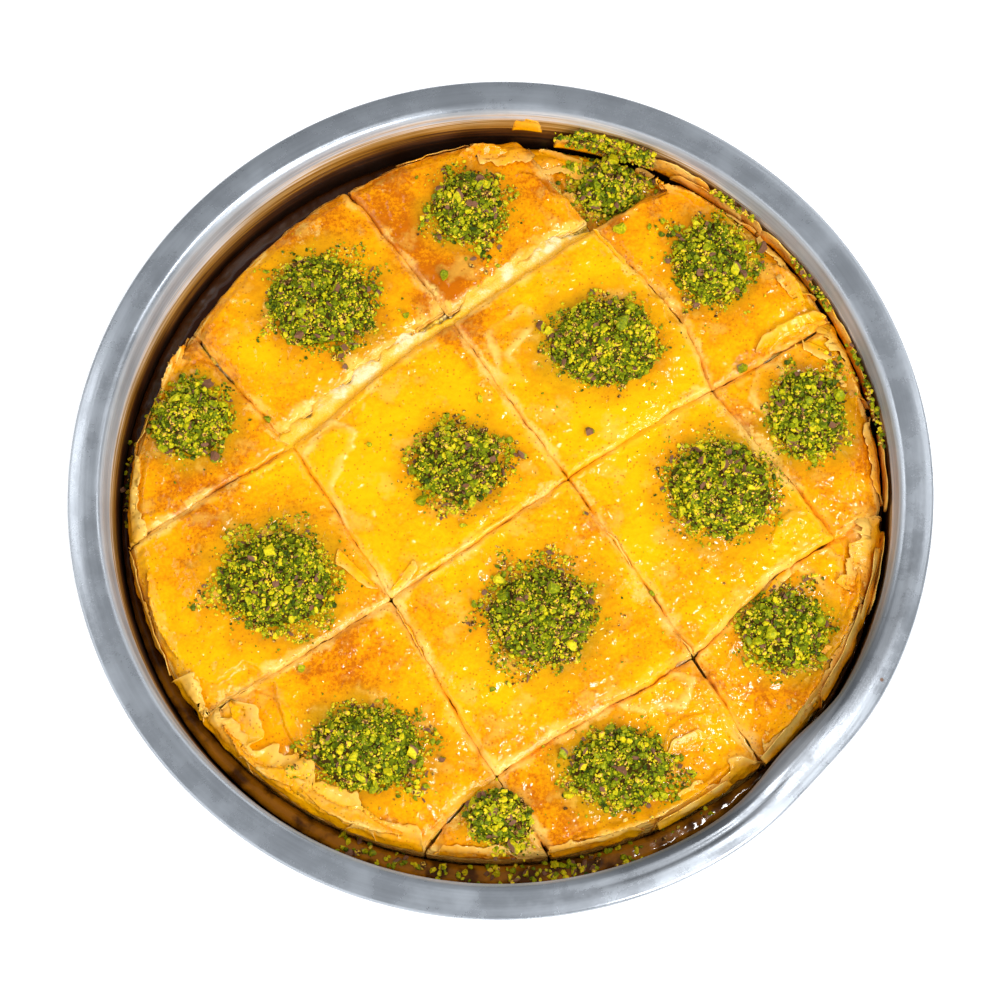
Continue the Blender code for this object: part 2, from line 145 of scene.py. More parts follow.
def treeOf(*values):
    return next(value.id_data for value in values if isinstance(value, bpy.types.NodeSocket))


def shaderNode(tree, kind, inputs=None, **settings):
    made = tree.nodes.new("ShaderNode" + kind)
    for key, value in settings.items():
        setattr(made, key, value)
    for key, value in (inputs or {}).items():
        feed(made.inputs[key], value)
    return made


def noiseOf(place, scale, detail=3.0, roughness=0.5, **settings):
    inputs = {"Vector": place, "Scale": scale, "Detail": detail, "Roughness": roughness}
    return shaderNode(place.id_data, "TexNoise", inputs, **settings).outputs["Fac"]


def cellsOf(place, scale):
    return shaderNode(place.id_data, "TexVoronoi", {"Vector": place, "Scale": scale}).outputs


def stretched(place, scale):
    return shaderNode(place.id_data, "Mapping", {"Vector": place, "Scale": scale}).outputs[0]


def partsOf(value, kind="XYZ"):
    return shaderNode(value.id_data, "Separate" + kind, {0: value}).outputs


def combined(kind, *parts):
    return shaderNode(treeOf(*parts), "Combine" + kind, dict(enumerate(parts))).outputs[0]


def maths(operation, first, second=0.0, clamp=False):
    return shaderNode(treeOf(first, second), "Math", {0: first, 1: second},
                      operation=operation, use_clamp=clamp).outputs[0]


def add(*parts):
    return reduce(lambda first, second: maths("ADD", first, second), parts)


def times(*parts):
    return reduce(lambda first, second: maths("MULTIPLY", first, second), parts)


def minus(first, second, clamp=False):
    return maths("SUBTRACT", first, second, clamp)


def fromTo(value, low, high, outLow=0.0, outHigh=1.0, kind="SMOOTHSTEP"):
    inputs = {"Value": value, "From Min": low, "From Max": high, "To Min": outLow, "To Max": outHigh}
    return shaderNode(value.id_data, "MapRange", inputs, interpolation_type=kind).outputs["Result"]


def spread(pattern, low, high):  # a noise, most of which lies from 0.3 to 0.7, over another range
    return fromTo(pattern, 0.3, 0.7, low, high)


def mixColours(share, first, second, blend="MIX"):
    made = shaderNode(treeOf(share, first, second), "Mix", data_type="RGBA", blend_type=blend)
    for key, value in (("Factor_Float", share), ("A_Color", first), ("B_Color", second)):
        feed(next(s for s in made.inputs if s.identifier == key), value)
    return next(s for s in made.outputs if s.identifier == "Result_Color")


def colourRamp(value, stops):
    made = shaderNode(value.id_data, "ValToRGB", {"Fac": value})
    elements = made.color_ramp.elements
    while len(elements) < len(stops):
        elements.new(0.5)
    for element, (place, colour) in zip(elements, stops):
        element.position = place
        element.color = (*colour, 1)
    return made.outputs["Color"]


def field(place, name):
    return shaderNode(place.id_data, "Attribute", attribute_name=name).outputs["Fac"]


def bump(height, strength, distance):
    inputs = {"Height": height, "Strength": strength, "Distance": distance}
    return shaderNode(height.id_data, "Bump", inputs).outputs["Normal"]


def newMaterial(name):  # the material and its Object coordinates
    material = bpy.data.materials.new(name)
    material.use_nodes = True
    return material, shaderNode(material.node_tree, "TexCoord").outputs["Object"]


def dressed(material, inputs):  # the material with its shader fed
    shader = material.node_tree.nodes["Principled BSDF"]
    for key, value in inputs.items():
        feed(shader.inputs[key], value)
    return material


def newGroup(name, inputs, output):  # a node group with number inputs and one output
    group = bpy.data.node_groups.new(name, "ShaderNodeTree")
    group.interface.new_socket("Vector", in_out="INPUT", socket_type="NodeSocketVector")
    for label, value in inputs.items():
        group.interface.new_socket(label, in_out="INPUT", socket_type="NodeSocketFloat").default_value = value
    group.interface.new_socket(output, in_out="OUTPUT", socket_type="NodeSocketFloat")
    return group, group.nodes.new("NodeGroupInput").outputs, group.nodes.new("NodeGroupOutput").inputs[0]


def useGroup(group, place, **values):
    inputs = {"Vector": place, **{key.title(): value for key, value in values.items()}}
    return shaderNode(place.id_data, "Group", inputs, node_tree=group).outputs[0]


def speckleGroup():  # small scattered spots: Mask is 1 on a spot
    group, given, mask = newGroup("speckles", {"Scale": 600.0, "Size": 0.3, "Amount": 0.5}, "Mask")
    cells = cellsOf(given["Vector"], given["Scale"])
    near = maths("LESS_THAN", cells["Distance"], given["Size"])
    kept = maths("LESS_THAN", partsOf(cells["Color"], "Color")[0], given["Amount"])
    feed(mask, times(near, kept))
    return group


def rippleGroup():  # slow waves with finer ones on them, as in a thick glaze
    group, given, height = newGroup("ripples", {"Scale": 200.0, "Fine": 0.3}, "Height")
    slow = noiseOf(given["Vector"], given["Scale"], 2.0, 0.45)
    quick = noiseOf(given["Vector"], times(given["Scale"], 4.0), 2.0)
    feed(height, add(slow, times(quick, given["Fine"])))
    return group


speckles = speckleGroup()
ripples = rippleGroup()


# Crust: sheets of glazed pastry

crustLook = {
    "yellow": (0.91, 0.435, 0.0008),
    "gold": (0.87, 0.365, 0.0006),
    "orange": (0.78, 0.27, 0.0006),
    "brown": (0.50, 0.12, 0.0005),
    "straw": (0.88, 0.58, 0.14),
    "bare": (0.82, 0.64, 0.30),
    "glazed": (0.84, 0.50, 0.07),
    "stain": (0.55, 0.19, 0.002),
    "olive": (0.50, 0.31, 0.004),
    "speck": (0.36, 0.09, 0.004),
    "roughness": 0.09,
    "voxel": 0.68,
    "undulation": 0.45,  # height of the slow waves in the top
    "wrinkle": 0.22,
    "leafStep": 0.24,  # height of one sheet's edge
    "edgeFill": 1.3,  # glaze heaped in the rounded edges along the cuts
    "closing": 0.62,  # how far the sheets bulge into the cuts
    "waver": 0.8,  # how far the cuts stray from their lines
    "pleats": 0.8,  # depth of the folds down the rim side
    "rimFrom": 119,  # a side that lies further out than this is on the rim
    "terraces": ((1.3, 0.24), (3.0, 0.26), (5.5, 0.2)),  # torn sheets by a cut: distance, drop
    "tone": {  # how deep each slice is baked, from yellow at 0 to brown at 1
        1: 0.82, 2: 0.56, 3: 0.60, 4: 0.55, 5: 0.70, 6: 0.26, 7: 0.32, 8: 0.50, 9: 0.58,
        10: 0.32, 11: 0.42, 12: 0.56, 13: 0.58, 14: 0.54, 15: 0.66,
    },
    "pools": (  # clear yellow glaze: x, y, radius, change of tone
        (-46, 4, 13, -0.3), (50, -20, 12, -0.3), (2, -62, 12, -0.35), (31, 89, 8, -0.2), (38, 30, 12, -0.2),
        (-88, 57, 12, -0.3), (-15, 63, 16, 0.35), (86, 20, 12, 0.2), (-24, -48, 13, 0.2), (16, -26, 12, 0.2),
        (-100, -12, 12, 0.25), (-30, -62, 13, -0.25), (86, -66, 12, 0.15),
    ),
    "slopes": (  # x, y, radius, way down in degrees, steepness
        (71, -79, 15, -46, 0.25), (56, -68, 11, -46, 0.24), (0, -93, 6, -60, 0.22), (9, 84, 6, -30, 0.22),
        (-12, 72, 5, -60, 0.2), (-4, -28, 6, -60, 0.2), (118, -26, 6, -30, 0.22), (78, -16, 5, -45, 0.2),
        (30, 42, 7, -45, 0.16), (-66, -40, 6, -40, 0.2), (-95, 40, 4, -40, 0.25), (60, 44, 6, -50, 0.18),
    ),
    "bareWidth": 14.0,  # pale layers sink beside the open cut, on the first two slices
    "bareDrop": 1.6,
    "bareSpots": ((-44, 43, 18), (-62, 27, 9), (28, 95, 9), (4, 78, 8)),  # cream shines through: x, y, radius
}

tornPlaces = {  # by slice: height change and outline, where sheets are torn away or lie on top
    12: ((-2.4, ((-94, -70), (-78, -68), (-76, -76), (-73, -83), (-69, -90), (-66, -94), (-73, -97),
                 (-80, -97), (-87, -92), (-93, -85), (-97, -78))),
         (1.0, ((-84, -98), (-72, -95), (-65, -103), (-60, -108), (-52, -111), (-45, -112), (-38, -118),
                (-30, -122), (-34, -128), (-58, -116)))),
    8: ((-2.0, ((-104, -66), (-97, -68), (-88, -60), (-78, -64), (-90, -78), (-104, -76))),),
    13: ((0.7, ((100, -23), (104, -20), (109, -16), (115, -19), (119, -25), (119, -31), (118, -38),
                (113, -36), (108, -29), (102, -27))),
         (-1.0, ((118, -13), (120, -22), (122, -34), (119, -44), (124, -36), (124, -24), (121, -12))),
         (0.6, ((122, -8), (127, -10), (128, -24), (127, -34), (125, -30), (124, -18)))),
    14: ((0.5, ((31, -72), (50, -62), (68, -65), (64, -76), (48, -78))),
         (-0.6, ((57, -94), (72, -86), (80, -90), (70, -102), (58, -104)))),
    7: ((0.35, ((-70, 14), (-60, 28), (-50, 22), (-58, 2), (-50, -20), (-62, -16))),),
    6: ((0.4, ((-6, 58), (8, 70), (14, 64), (4, 50), (10, 40), (0, 42))),
        (-0.4, ((48, 10), (68, 38), (60, 40), (42, 18)))),
    3: ((-0.6, ((-127, 18), (-121, 22), (-112, 2), (-118, -6), (-128, -8))),),
    9: ((0.45, ((87, 34), (101, 22), (108, 30), (98, 48), (90, 47))),),
    4: ((-0.8, ((14, 124), (22, 126), (34, 116), (30, 108), (18, 116))),),
}

openCut = [Vector(point) for point in (  # middle of the cut that stands open
    (-84, 9), (-73, 17), (-55, 32.5), (-36, 49), (-12, 65.5), (14, 84), (32, 97))]

openSpots = (  # x, y, radius: where a cut gapes
    (-109, 60, 6), (-103, 52, 6), (-97, 44, 5), (64, -58, 6), (70, -62, 4), (-101, -71, 9), (-92, -66, 6),
    (20, 117, 8), (28, 106, 6), (45, 92, 7), (95, 52, 5), (106, 60, 6), (-22, -122, 6), (-14, -112, 5),
    (56, 76, 5), (62, 66, 5), (104, 8, 5), (0, 128, 5),
)


def crustMaterial():
    look = crustLook
    material, place = newMaterial("bakedFilo")
    cut, rim = field(place, "cut"), field(place, "rim")
    slow = noiseOf(place, 26.0)
    middle = noiseOf(place, 90.0, 4.0, 0.6)
    fine = noiseOf(place, 800.0, 4.0, 0.7)
    tone = add(field(place, "tone"),
               spread(slow, -0.32, 0.32), spread(middle, -0.22, 0.22), spread(fine, -0.2, 0.2))
    colour = colourRamp(tone, (
        (0.05, look["yellow"]), (0.38, look["gold"]), (0.70, look["orange"]), (1.0, look["brown"])))

    stained = fromTo(field(place, "nuts"), 1.75, 0.95)
    olive = times(stained, fromTo(slow, 0.4, 0.62, 0.0, 0.6))
    stained = times(stained, fromTo(middle, 0.3, 0.62, 0.4, 0.95))
    colour = mixColours(stained, colour, look["stain"])
    colour = mixColours(olive, colour, look["olive"])

    blotch = fromTo(noiseOf(place, 48.0, 2.0), 0.40, 0.62)  # only stretches of the edges are pale
    ragged = add(cut, fromTo(middle, 0.25, 0.75, -2.4, 2.4))
    pale = times(fromTo(ragged, 2.6, 0.2), fromTo(fine, 0.3, 0.6, 0.35, 0.9), add(0.08, times(blotch, 0.85)))
    lip = times(field(place, "leaf"), fromTo(middle, 0.42, 0.62, 0.1, 0.8))
    edge = maths("MINIMUM", times(cut, 2.0), rim)
    flaky = fromTo(edge, 16.0, 1.0, 0.66, 0.575)  # flakes crowd near the edges
    smear = maths("MULTIPLY", minus(noiseOf(place, 75.0, 7.0, 0.74), flaky), 30.0, True)
    smear = times(smear, fromTo(fine, 0.35, 0.62, 0.15, 0.65))
    for share in (pale, lip, smear):
        colour = mixColours(share, colour, look["straw"])
    bare = add(field(place, "bare"), spread(middle, -0.3, 0.3))
    colour = mixColours(fromTo(bare, 0.1, 0.5, 0.0, 0.9), colour, look["glazed"])
    colour = mixColours(fromTo(bare, 0.55, 0.95), colour, look["bare"])

    parts = partsOf(place)
    skirt = add(rim, fromTo(middle, 0.25, 0.75, -2.0, 2.0))
    layered = noiseOf(stretched(place, (0.12, 0.12, 1)), 1300.0, 3.0, 0.6)
    side = colourRamp(layered, ((0.30, look["brown"]), (0.46, look["orange"]), (0.60, look["straw"])))
    paintedLitSide = fromTo(minus(parts[0], parts[1]), 0.02, 0.11)  # painted light: the rim side turns pale straw towards the south-east, where the lamps fall
    side = mixColours(paintedLitSide, side, look["straw"])
    pale = times(fromTo(skirt, 2.6, 0.4), fromTo(layered, 0.35, 0.6, 0.45, 0.95))
    colour = mixColours(pale, colour, side)
    for scale, size, amount, depth in ((900.0, 0.34, 0.16, 0.5), (420.0, 0.16, 0.10, 0.6)):
        spots = useGroup(speckles, place, scale=scale, size=size, amount=amount)
        colour = mixColours(times(spots, depth), colour, look["speck"])

    ridges = noiseOf(place, 150.0, 2.0, noise_type="RIDGED_MULTIFRACTAL")
    patch = fromTo(noiseOf(place, 60.0, 3.0, 0.6), 0.45, 0.60)
    crackle = times(noiseOf(place, 520.0, 1.0), patch, 0.45)
    height = add(
        useGroup(ripples, place, scale=140.0, fine=0.12),
        add(crackle, times(smear, 0.08)),
        times(ridges, fromTo(slow, 0.46, 0.62, 0.0, 0.4)),
        times(noiseOf(place, 250.0, 1.0), 0.6),
        times(fine, 0.015),
        times(layered, pale, 0.6))
    return dressed(material, {
        "Base Color": colour,
        "Normal": bump(height, 0.8, 0.0010),
        "Roughness": spread(middle, look["roughness"] - 0.04, look["roughness"] + 0.05),
        "Specular IOR Level": 0.22})


def edgePlaces(bm, top):  # trees of the points on the cut sides and on the rim side
    cuts, rims = [], []
    for vertex in bm.verts:
        x, y, z = vertex.co
        if abs(vertex.normal.z) > 0.5:
            continue
        outward = (vertex.normal.x * x + vertex.normal.y * y) / max(1.0, hypot(x, y))
        onRim = outward > 0.8 and hypot(x, y) > crustLook["rimFrom"]
        if onRim and top - 11 < z < top - 6:
            rims.append(vertex.co)
        elif top - 3.6 < z < top - 1.4 and not onRim:
            cuts.append(vertex.co)
    trees = []
    for points in (cuts, rims):
        tree = KDTree(len(points))
        for i, point in enumerate(points):
            tree.insert((point.x, point.y, 0), i)
        tree.balance()
        trees.append(tree if points else None)
    return trees


def distanceTo(tree, x, y, far=40.0):
    return tree.find((x, y, 0))[2] if tree else far


def depthInside(outline, x, y):  # distance to an outline's edge, positive inside it
    inside = False
    nearest = 1e9
    for (x1, y1), (x2, y2) in zip(outline, outline[1:] + outline[:1]):
        if (y1 > y) != (y2 > y) and x < x1 + (y - y1) * (x2 - x1) / (y2 - y1):
            inside = not inside
        share = ((x - x1) * (x2 - x1) + (y - y1) * (y2 - y1)) / ((x2 - x1)**2 + (y2 - y1)**2)
        share = min(1, max(0, share))
        nearest = min(nearest, hypot(x - x1 - share * (x2 - x1), y - y1 - share * (y2 - y1)))
    return nearest if inside else -nearest


def cutDistance(x, y):  # how far a place is from the open cut
    point = Vector((x, y))
    nearest = 1e9
    for first, second in zip(openCut, openCut[1:]):
        share = (point - first).dot(second - first) / (second - first).length_squared
        nearest = min(nearest, (point - first.lerp(second, min(1, max(0, share)))).length)
    return nearest


def tornHeight(number, x, y):  # height change, how near to a sheet's edge, how much browner
    height = leaf = baked = 0
    for change, outline in tornPlaces.get(number, ()):
        if min(abs(x - px) + abs(y - py) for px, py in outline) >= 22:  # too far off to matter
            continue
        depth = depthInside(outline, x, y) + 0.9 * wave(x, y, 0, 3.5) + 0.9 * wave(x, y, 0, 8)
        share = smoothStep(-0.4, 0.4, depth)
        height += change * share
        if change > 0:
            leaf = max(leaf, share * (1 - smoothStep(0.4, 3.5, depth)))
        else:
            baked = max(baked, share * min(0.12, -0.2 * change))
    return height, leaf, baked


def contourHeight(number, x, y):  # broad sheets lying over one another, with ragged edges
    level = wave(x, y, 0, 30, number * 3.1) + 0.16 * wave(x, y, 0, 6) + 0.05 * wave(x, y, 0, 1.8)
    return sum(crustLook["leafStep"] * smoothStep(limit - 0.02, limit + 0.02, level)
               for limit in (-0.22, 0.12, 0.36))


def makeCrust(number, material):
    look = crustLook
    bm = remeshed(nodeShape(f"crust_{number}"), look["voxel"])
    bm.normal_update()
    low, high = boxOf(f"pistachio_{number}")
    top = topOf(number)
    nutsAt, nutsHalf = (low + high) / 2, (high - low) / 2
    cutTree, rimTree = edgePlaces(bm, top)
    fields = {name: [] for name in ("cut", "rim", "nuts", "tone", "leaf", "bare")}
    moves = []
    for vertex in bm.verts:
        x, y, z = vertex.co
        cut = distanceTo(cutTree, x, y)
        rim = distanceTo(rimTree, x, y)
        nuts = hypot((x - nutsAt.x) / nutsHalf.x, (y - nutsAt.y) / nutsHalf.y) + 0.2 * wave(x, y, 0, 9)
        tone = look["tone"][number]
        for px, py, size, change in look["pools"]:
            away = hypot(x - px, y - py) / size
            if away < 2:
                tone += change * exp(-away * away * 1.5)
        near = z > top - 9
        leaf = bare = sink = 0
        if number in (1, 2) and near:
            away = cutDistance(x, y) + 2.4 * wave(x, y, 0, 10, 4) + 0.8 * wave(x, y, 0, 2.6, 4)
            spot = max(0.62, max(1.6 - hypot(x - px, y - py) / size for px, py, size in look["bareSpots"]))
            bare = (1 - smoothStep(0.5, look["bareWidth"], away)) * min(1, spot)
            sink = look["bareDrop"] * (1 - smoothStep(0, look["bareWidth"], away))
        upward = smoothStep(0.1, 0.7, vertex.normal.z) if near else 0
        gaping = max(0, max(1 - hypot(x - px, y - py) / size for px, py, size in openSpots))
        lift = 0
        if upward:
            for depth, step in look["terraces"]:
                ragged = depth * (1 + 0.9 * wave(x, y, 0, 9, depth) + 0.4 * wave(x, y, 0, 2.5, depth))
                lift -= step * (1 - smoothStep(ragged - 0.35, ragged + 0.35, cut))
            torn, leaf, baked = tornHeight(number, x, y)
            tone += baked
            inner = smoothStep(0, 3, cut)
            lift += torn + contourHeight(number, x, y) * inner - sink
            for px, py, size, way, steep in look["slopes"]:
                dx, dy = x - px, y - py
                if abs(dx) + abs(dy) < 3 * size:
                    down = dx * cos(radians(way)) + dy * sin(radians(way))
                    lift -= steep * down * exp(-(dx * dx + dy * dy) / size**2)
            lift += inner * look["undulation"] * wave(x, y, 0, 24, number)
            lift += inner * look["wrinkle"] * (0.5 - 2 * abs(wave(x + y, (y - x) * 0.35, 0, 8, number)))
            lift += 0.07 * wave(x, y, z, 1.8)
            heaped = max(0, 0.6 + 1.2 * wave(x, y, 0, 16, 5)) * (1 - smoothStep(0.2, 2.6, cut))
            heaped *= sink < 0.3
            heaped = look["edgeFill"] * heaped * (1 - smoothStep(0, 0.5, gaping))
            lift += heaped - 1.6 * gaping * (cut < 3)
        closing = look["closing"] * (0.9 + 0.7 * wave(x, y, 0, 7, 3)) * (z > top - 7)
        closing *= 1 - smoothStep(0, 0.3, gaping)
        sideways = 0.3 * wave(x, y, z * 2, 6) + 0.2 * wave(x, y, z * 3, 2.4)
        if rim < 4 and near:
            sideways += look["pleats"] * (0.6 - 2 * abs(wave(x, y, z * 0.4, 7, 2))) + 0.4 * wave(x, y, z, 3)
            closing = 0
        away = vertex.normal * (sideways + closing) * (1 - upward)
        stray = look["waver"] * (1 - smoothStep(1, 5, cut)) * (rim > 5)
        away.x += stray * (wave(x, y, 0, 11, 21) + 0.5 * wave(x, y, 0, 3, 21))
        away.y += stray * (wave(x, y, 0, 11, 31) + 0.5 * wave(x, y, 0, 3, 31))
        moves.append(Vector((away.x, away.y, upward * lift)))
        for values, value in zip(fields.values(), (cut, rim if z > top - 12 else 0, nuts, tone, leaf, bare)):
            values.append(value)
    for vertex, move in zip(bm.verts, moves):
        vertex.co += move
    bm.normal_update()
    surface = BVHTree.FromBMesh(bm)
    finishPiece(f"filoTop{number}", bm, material, [f"crust_{number}"], fields)
    return surface, cutTree


# Torn leaves: loose sheets of pastry that stand off the slices

leafLook = {
    "thickness": 0.28,
    "rimLeaves": (  # slice, first and last angle, inner and outer radius, drop down the side, lift
        (12, -134, -109, 113, 129.5, 3, 0.7), (12, -114, -101, 119, 129, 3, 0.8),
        (12, -146, -131, 119, 131, 5, 0.8),
        (8, -150, -140, 122, 132, 6, 0.9), (8, -172, -151, 127.5, 133.5, 4, 0.5),
        (3, 172, 190, 123, 134, 3, 1.0), (3, 152, 172, 127, 134.5, 4, 0.6),
        (1, 84, 95, 120, 134, 2, 1.2), (1, 95, 107, 127, 133, 4, 0.5), (4, 74, 87, 118, 131, 2, 1.0),
        (5, 47, 67, 127, 134.5, 0, 1.2), (5, 33, 47, 125, 134.5, 2, 1.1),
        (9, 14, 31, 124, 135, 3, 1.3), (9, -1, 13, 126, 135, 4, 0.9),
        (13, -17, -3, 119, 134.5, 3, 1.5), (13, -34, -16, 124, 134, 4, 1.1), (13, -46, -31, 124, 131, 6, 0.8),
        (14, -66, -46, 120, 129.5, 5, 0.8), (14, -84, -67, 121, 129, 4, 0.6),
        (15, -100, -87, 122, 128.5, 3, 0.7),
    ),
    "standing": (  # slice, first and last angle, radius and height of the foot, radius and height of the top
        (4, 66, 76, 134.2, 28, 136.0, 40.0), (4, 74, 82, 133.6, 27, 135.2, 36.5),
        (5, 56, 67, 134.4, 28, 135.7, 38.0), (5, 46, 57, 134.2, 28, 135.2, 36.6),
        (5, 34, 47, 134.4, 28, 135.4, 36.0), (5, 50, 63, 133.4, 29, 134.2, 36.0),
        (9, 22, 33, 134.6, 28, 135.6, 36.2), (9, 12, 24, 134.2, 28, 135.0, 35.6),
        (9, -2, 10, 134.4, 27, 135.2, 34.6),
        (13, -18, -5, 134.0, 26, 134.8, 34.0), (13, -46, -29, 131.6, 30.5, 128.6, 35.9),
        (13, -33, -17, 133.4, 30.5, 130.8, 35.6), (13, -20, -8, 133.8, 30.0, 132.0, 35.4),
        (14, -65, -52, 129.4, 31.0, 127.2, 35.6),
        (4, 84, 88.5, 136.4, 33, 137.4, 42.5),
    ),
    "flatLeaves": (  # slice, start, end, width to the left, lift
        (12, (-93, -74), (-90, -91), 12, 2.0),
        (5, (90, 51), (116, 66), 5, 1.4), (9, (107, 57), (119, 50), -5, 1.2),
        (4, (13, 131), (28, 121), 7, 0.9), (4, (20, 112), (30, 108), 4, 0.9),
        (4, (50, 127), (52, 118), 5, 2.6),
        (14, (50, -63), (32, -71), 5, 0.5), (6, (33, 98), (44, 84), 4, 0.5),
        (2, (-37, 47), (-24, 57), 3, 0.5), (10, (36, -14), (48, -41), 4, 0.45),
        (10, (50, -44), (66, -60), 3.5, 0.6),
        (11, (-37, -42), (-28, -60), -4, 0.4), (8, (-42, -34), (-56, -20), 5, 0.4),
        (7, (-30, -24), (-38, -35), 4, 0.4),
        (13, (88, -41), (99, -24), -5, 0.6), (14, (58, -92), (72, -86), 5, 0.6),
    ),
}


def leafMesh(bm, points, tree, lift, bend, layers, tone, pale=0.8):  # one sheet over a net of points
    rows, columns = len(points), len(points[0])
    made = bmesh.ops.create_grid(bm, x_segments=rows - 1, y_segments=columns - 1, size=1)["verts"]
    for vertex in made:
        i = round((vertex.co.x + 1) / 2 * (rows - 1))
        j = round((vertex.co.y + 1) / 2 * (columns - 1))
        guess = points[i][j]
        lean = smoothStep(*bend, j / (columns - 1))
        vertex.co = guess
        if tree:  # laid on a surface
            place, normal = tree.find_nearest(guess)[:2]
            up = 0.3 + lift * (lean + 0.3 * wave(guess.x, guess.y, guess.z, 9, lift))
            vertex.co = place + normal * max(0.12, up)
        # Each sheet takes a yellower tone than its slice: painted light, standing in for light shining
        # through thin pastry. It grows pale straw towards its lifted edge.
        for layer, value in zip(layers, (3.6 * (1 - lean) + 0.2, 40, 3, tone - 0.12, pale * lean)):
            vertex[layer] = value
    for i in range(2):
        bmesh.ops.smooth_vert(bm, verts=made, factor=0.5)


def torn(along, seed):  # how a torn edge strays, broad and fine
    return sum(much * wave(along, 0, 0, size, seed) for much, size in ((0.3, 14), (0.16, 5.3), (0.07, 1.9)))


def sheetPoints(long, wide, taper, full, step, dice, placeAt):  # rows of points, root to torn edge
    seed = dice.uniform(0, 90)
    slope, power, least = taper
    points = []
    for i in range(long + 1):
        along = i / long
        ragged = min(1, slope * min(along, 1 - along)**power + least) * (full + torn(i * step, seed))
        points.append([Vector(placeAt(i, j, ragged, seed)) for j in range(wide + 1)])
    return points


def rimPoints(number, first, last, inner, outer, drop, dice):  # a sheet that bends over the rim side
    top = topOf(number)
    long = max(5, round(abs(last - first) * 2.3 / 0.6))
    wide = max(6, round((outer - inner + drop) / 0.8))

    def placeAt(i, j, ragged, seed):
        way = (outer - inner + drop) * (1 - (j / wide) * ragged)
        radius = inner + min(way, outer - inner)
        z = top - max(0, way - (outer - inner)) - max(0, radius - 122) * 0.35
        return *polar(radius, radians(first + (last - first) * (i / long))), z

    return sheetPoints(long, wide, (5, 0.8, 0.12), 0.78, 0.6, dice, placeAt)


def standingPoints(first, last, foot, low, head, high, dice):  # a thin sheet on edge beside the wall
    long = round(abs(last - first) * 2.35 / 0.7)
    wide = 12

    def placeAt(i, j, ragged, seed):
        radius = foot + (head - foot) * (j / wide) + 0.5 * wave(i * 0.7, j, 0, 8, seed)
        angle = radians(first + (last - first) * (i / long))
        return *polar(radius, angle), low + (high - low) * ragged * (j / wide)

    return sheetPoints(long, wide, (4, 0.7, 0.1), 0.85, 0.7, dice, placeAt)


def flatPoints(number, start, end, width, dice):  # a sheet that lies on a slice
    top = topOf(number)
    start, end = Vector(start), Vector(end)
    side = Vector((start.y - end.y, end.x - start.x)).normalized() * width
    long = max(5, round((end - start).length / 0.6))
    wide = max(5, round(abs(width) / 0.7))

    def placeAt(i, j, ragged, seed):
        return *(start.lerp(end, i / long) + side * (j / wide) * ragged), top

    return sheetPoints(long, wide, (4, 0.8, 0.1), 0.8, 0.6, dice, placeAt)


def makeLeaves(number, material, tree):
    look = leafLook
    dice = random.Random(40 + number)
    bm = bmesh.new()
    layers = [bm.verts.layers.float.new(name) for name in ("cut", "rim", "nuts", "tone", "leaf")]
    tone = crustLook["tone"][number]
    for slice, *shape, lift in look["rimLeaves"]:
        if slice == number:
            leafMesh(bm, rimPoints(number, *shape, dice), tree, lift, (0.35, 1), layers, tone)
    for slice, *shape, lift in look["flatLeaves"]:
        if slice == number:
            leafMesh(bm, flatPoints(number, *shape, dice), tree, lift, (0.2, 1), layers, tone)
    for slice, *shape in look["standing"]:
        if slice == number:
            # painted light: the sheets standing by the wall are made paler straw than the others
            leafMesh(bm, standingPoints(*shape, dice), None, 0, (0.1, 0.8), layers, tone, 1.2)
    bmesh.ops.recalc_face_normals(bm, faces=bm.faces)
    bm = modified(bm, "SOLIDIFY", thickness=look["thickness"], offset=0)
    finishPiece(f"tornLeaves{number}", bm, material)


# Cream: what shows in the open cut

creamLook = {
    "ivory": (0.93, 0.80, 0.50),
    "soaked": (0.78, 0.50, 0.03),
    "voxel": 1.2,
    "lumps": 1.0,
    "heaped": 3.2,  # how far it stands up against the crust
    "bulge": 1.0,  # how far it closes the cut below the crust
    "pale": (0.78, 0.64, 0.34),
    "buttery": (0.80, 0.48, 0.07),
    "honey": (0.84, 0.43, 0.005),
    "runTop": 33.2,
    "runWidth": 6.5,
    "paleSpots": ((-48, 40, 13), (-31, 52, 7), (21, 94, 11), (4, 78, 5)),
    "open": (1, 2, 4, 6, 7),  # the slices whose cream can be seen
}


def creamMaterial():
    look = creamLook
    material, place = newMaterial("clottedCream")
    patches = noiseOf(place, 120.0, 4.0, 0.6)
    high = fromTo(partsOf(place)[2], 0.0328, 0.0345)
    wet = minus(fromTo(patches, 0.36, 0.58, 0.35, 1.1), times(high, 0.6), True)
    return dressed(material, {
        "Base Color": mixColours(wet, look["ivory"], look["soaked"]),
        "Normal": bump(useGroup(ripples, place, scale=420.0, fine=0.4), 0.7, 0.0012),
        "Roughness": spread(patches, 0.3, 0.5),
        "Coat Weight": 0.4})


def makeCream(number, material, crustTree, cutTree):
    look = creamLook
    bm = remeshed(nodeShape(f"cream_{number}"), look["voxel"])
    bm.normal_update()
    for vertex in bm.verts:
        x, y, z = vertex.co
        lump = look["lumps"] * wave(x, y, z, 4.5, number) + 0.4 * wave(x, y, z, 1.8)
        covered = crustTree.ray_cast(vertex.co, Vector((0, 0, 1)))[0]
        if vertex.normal.z > 0.5 and not covered and cutTree:
            vertex.co.z += look["heaped"] * exp(-distanceTo(cutTree, x, y) / 2.5)
        if abs(vertex.normal.z) < 0.7 and z > 20:
            lump += look["bulge"]
        vertex.co += vertex.normal * (lump - 0.2)
    finishPiece(f"cream{number}", bm, material, [f"cream_{number}"])


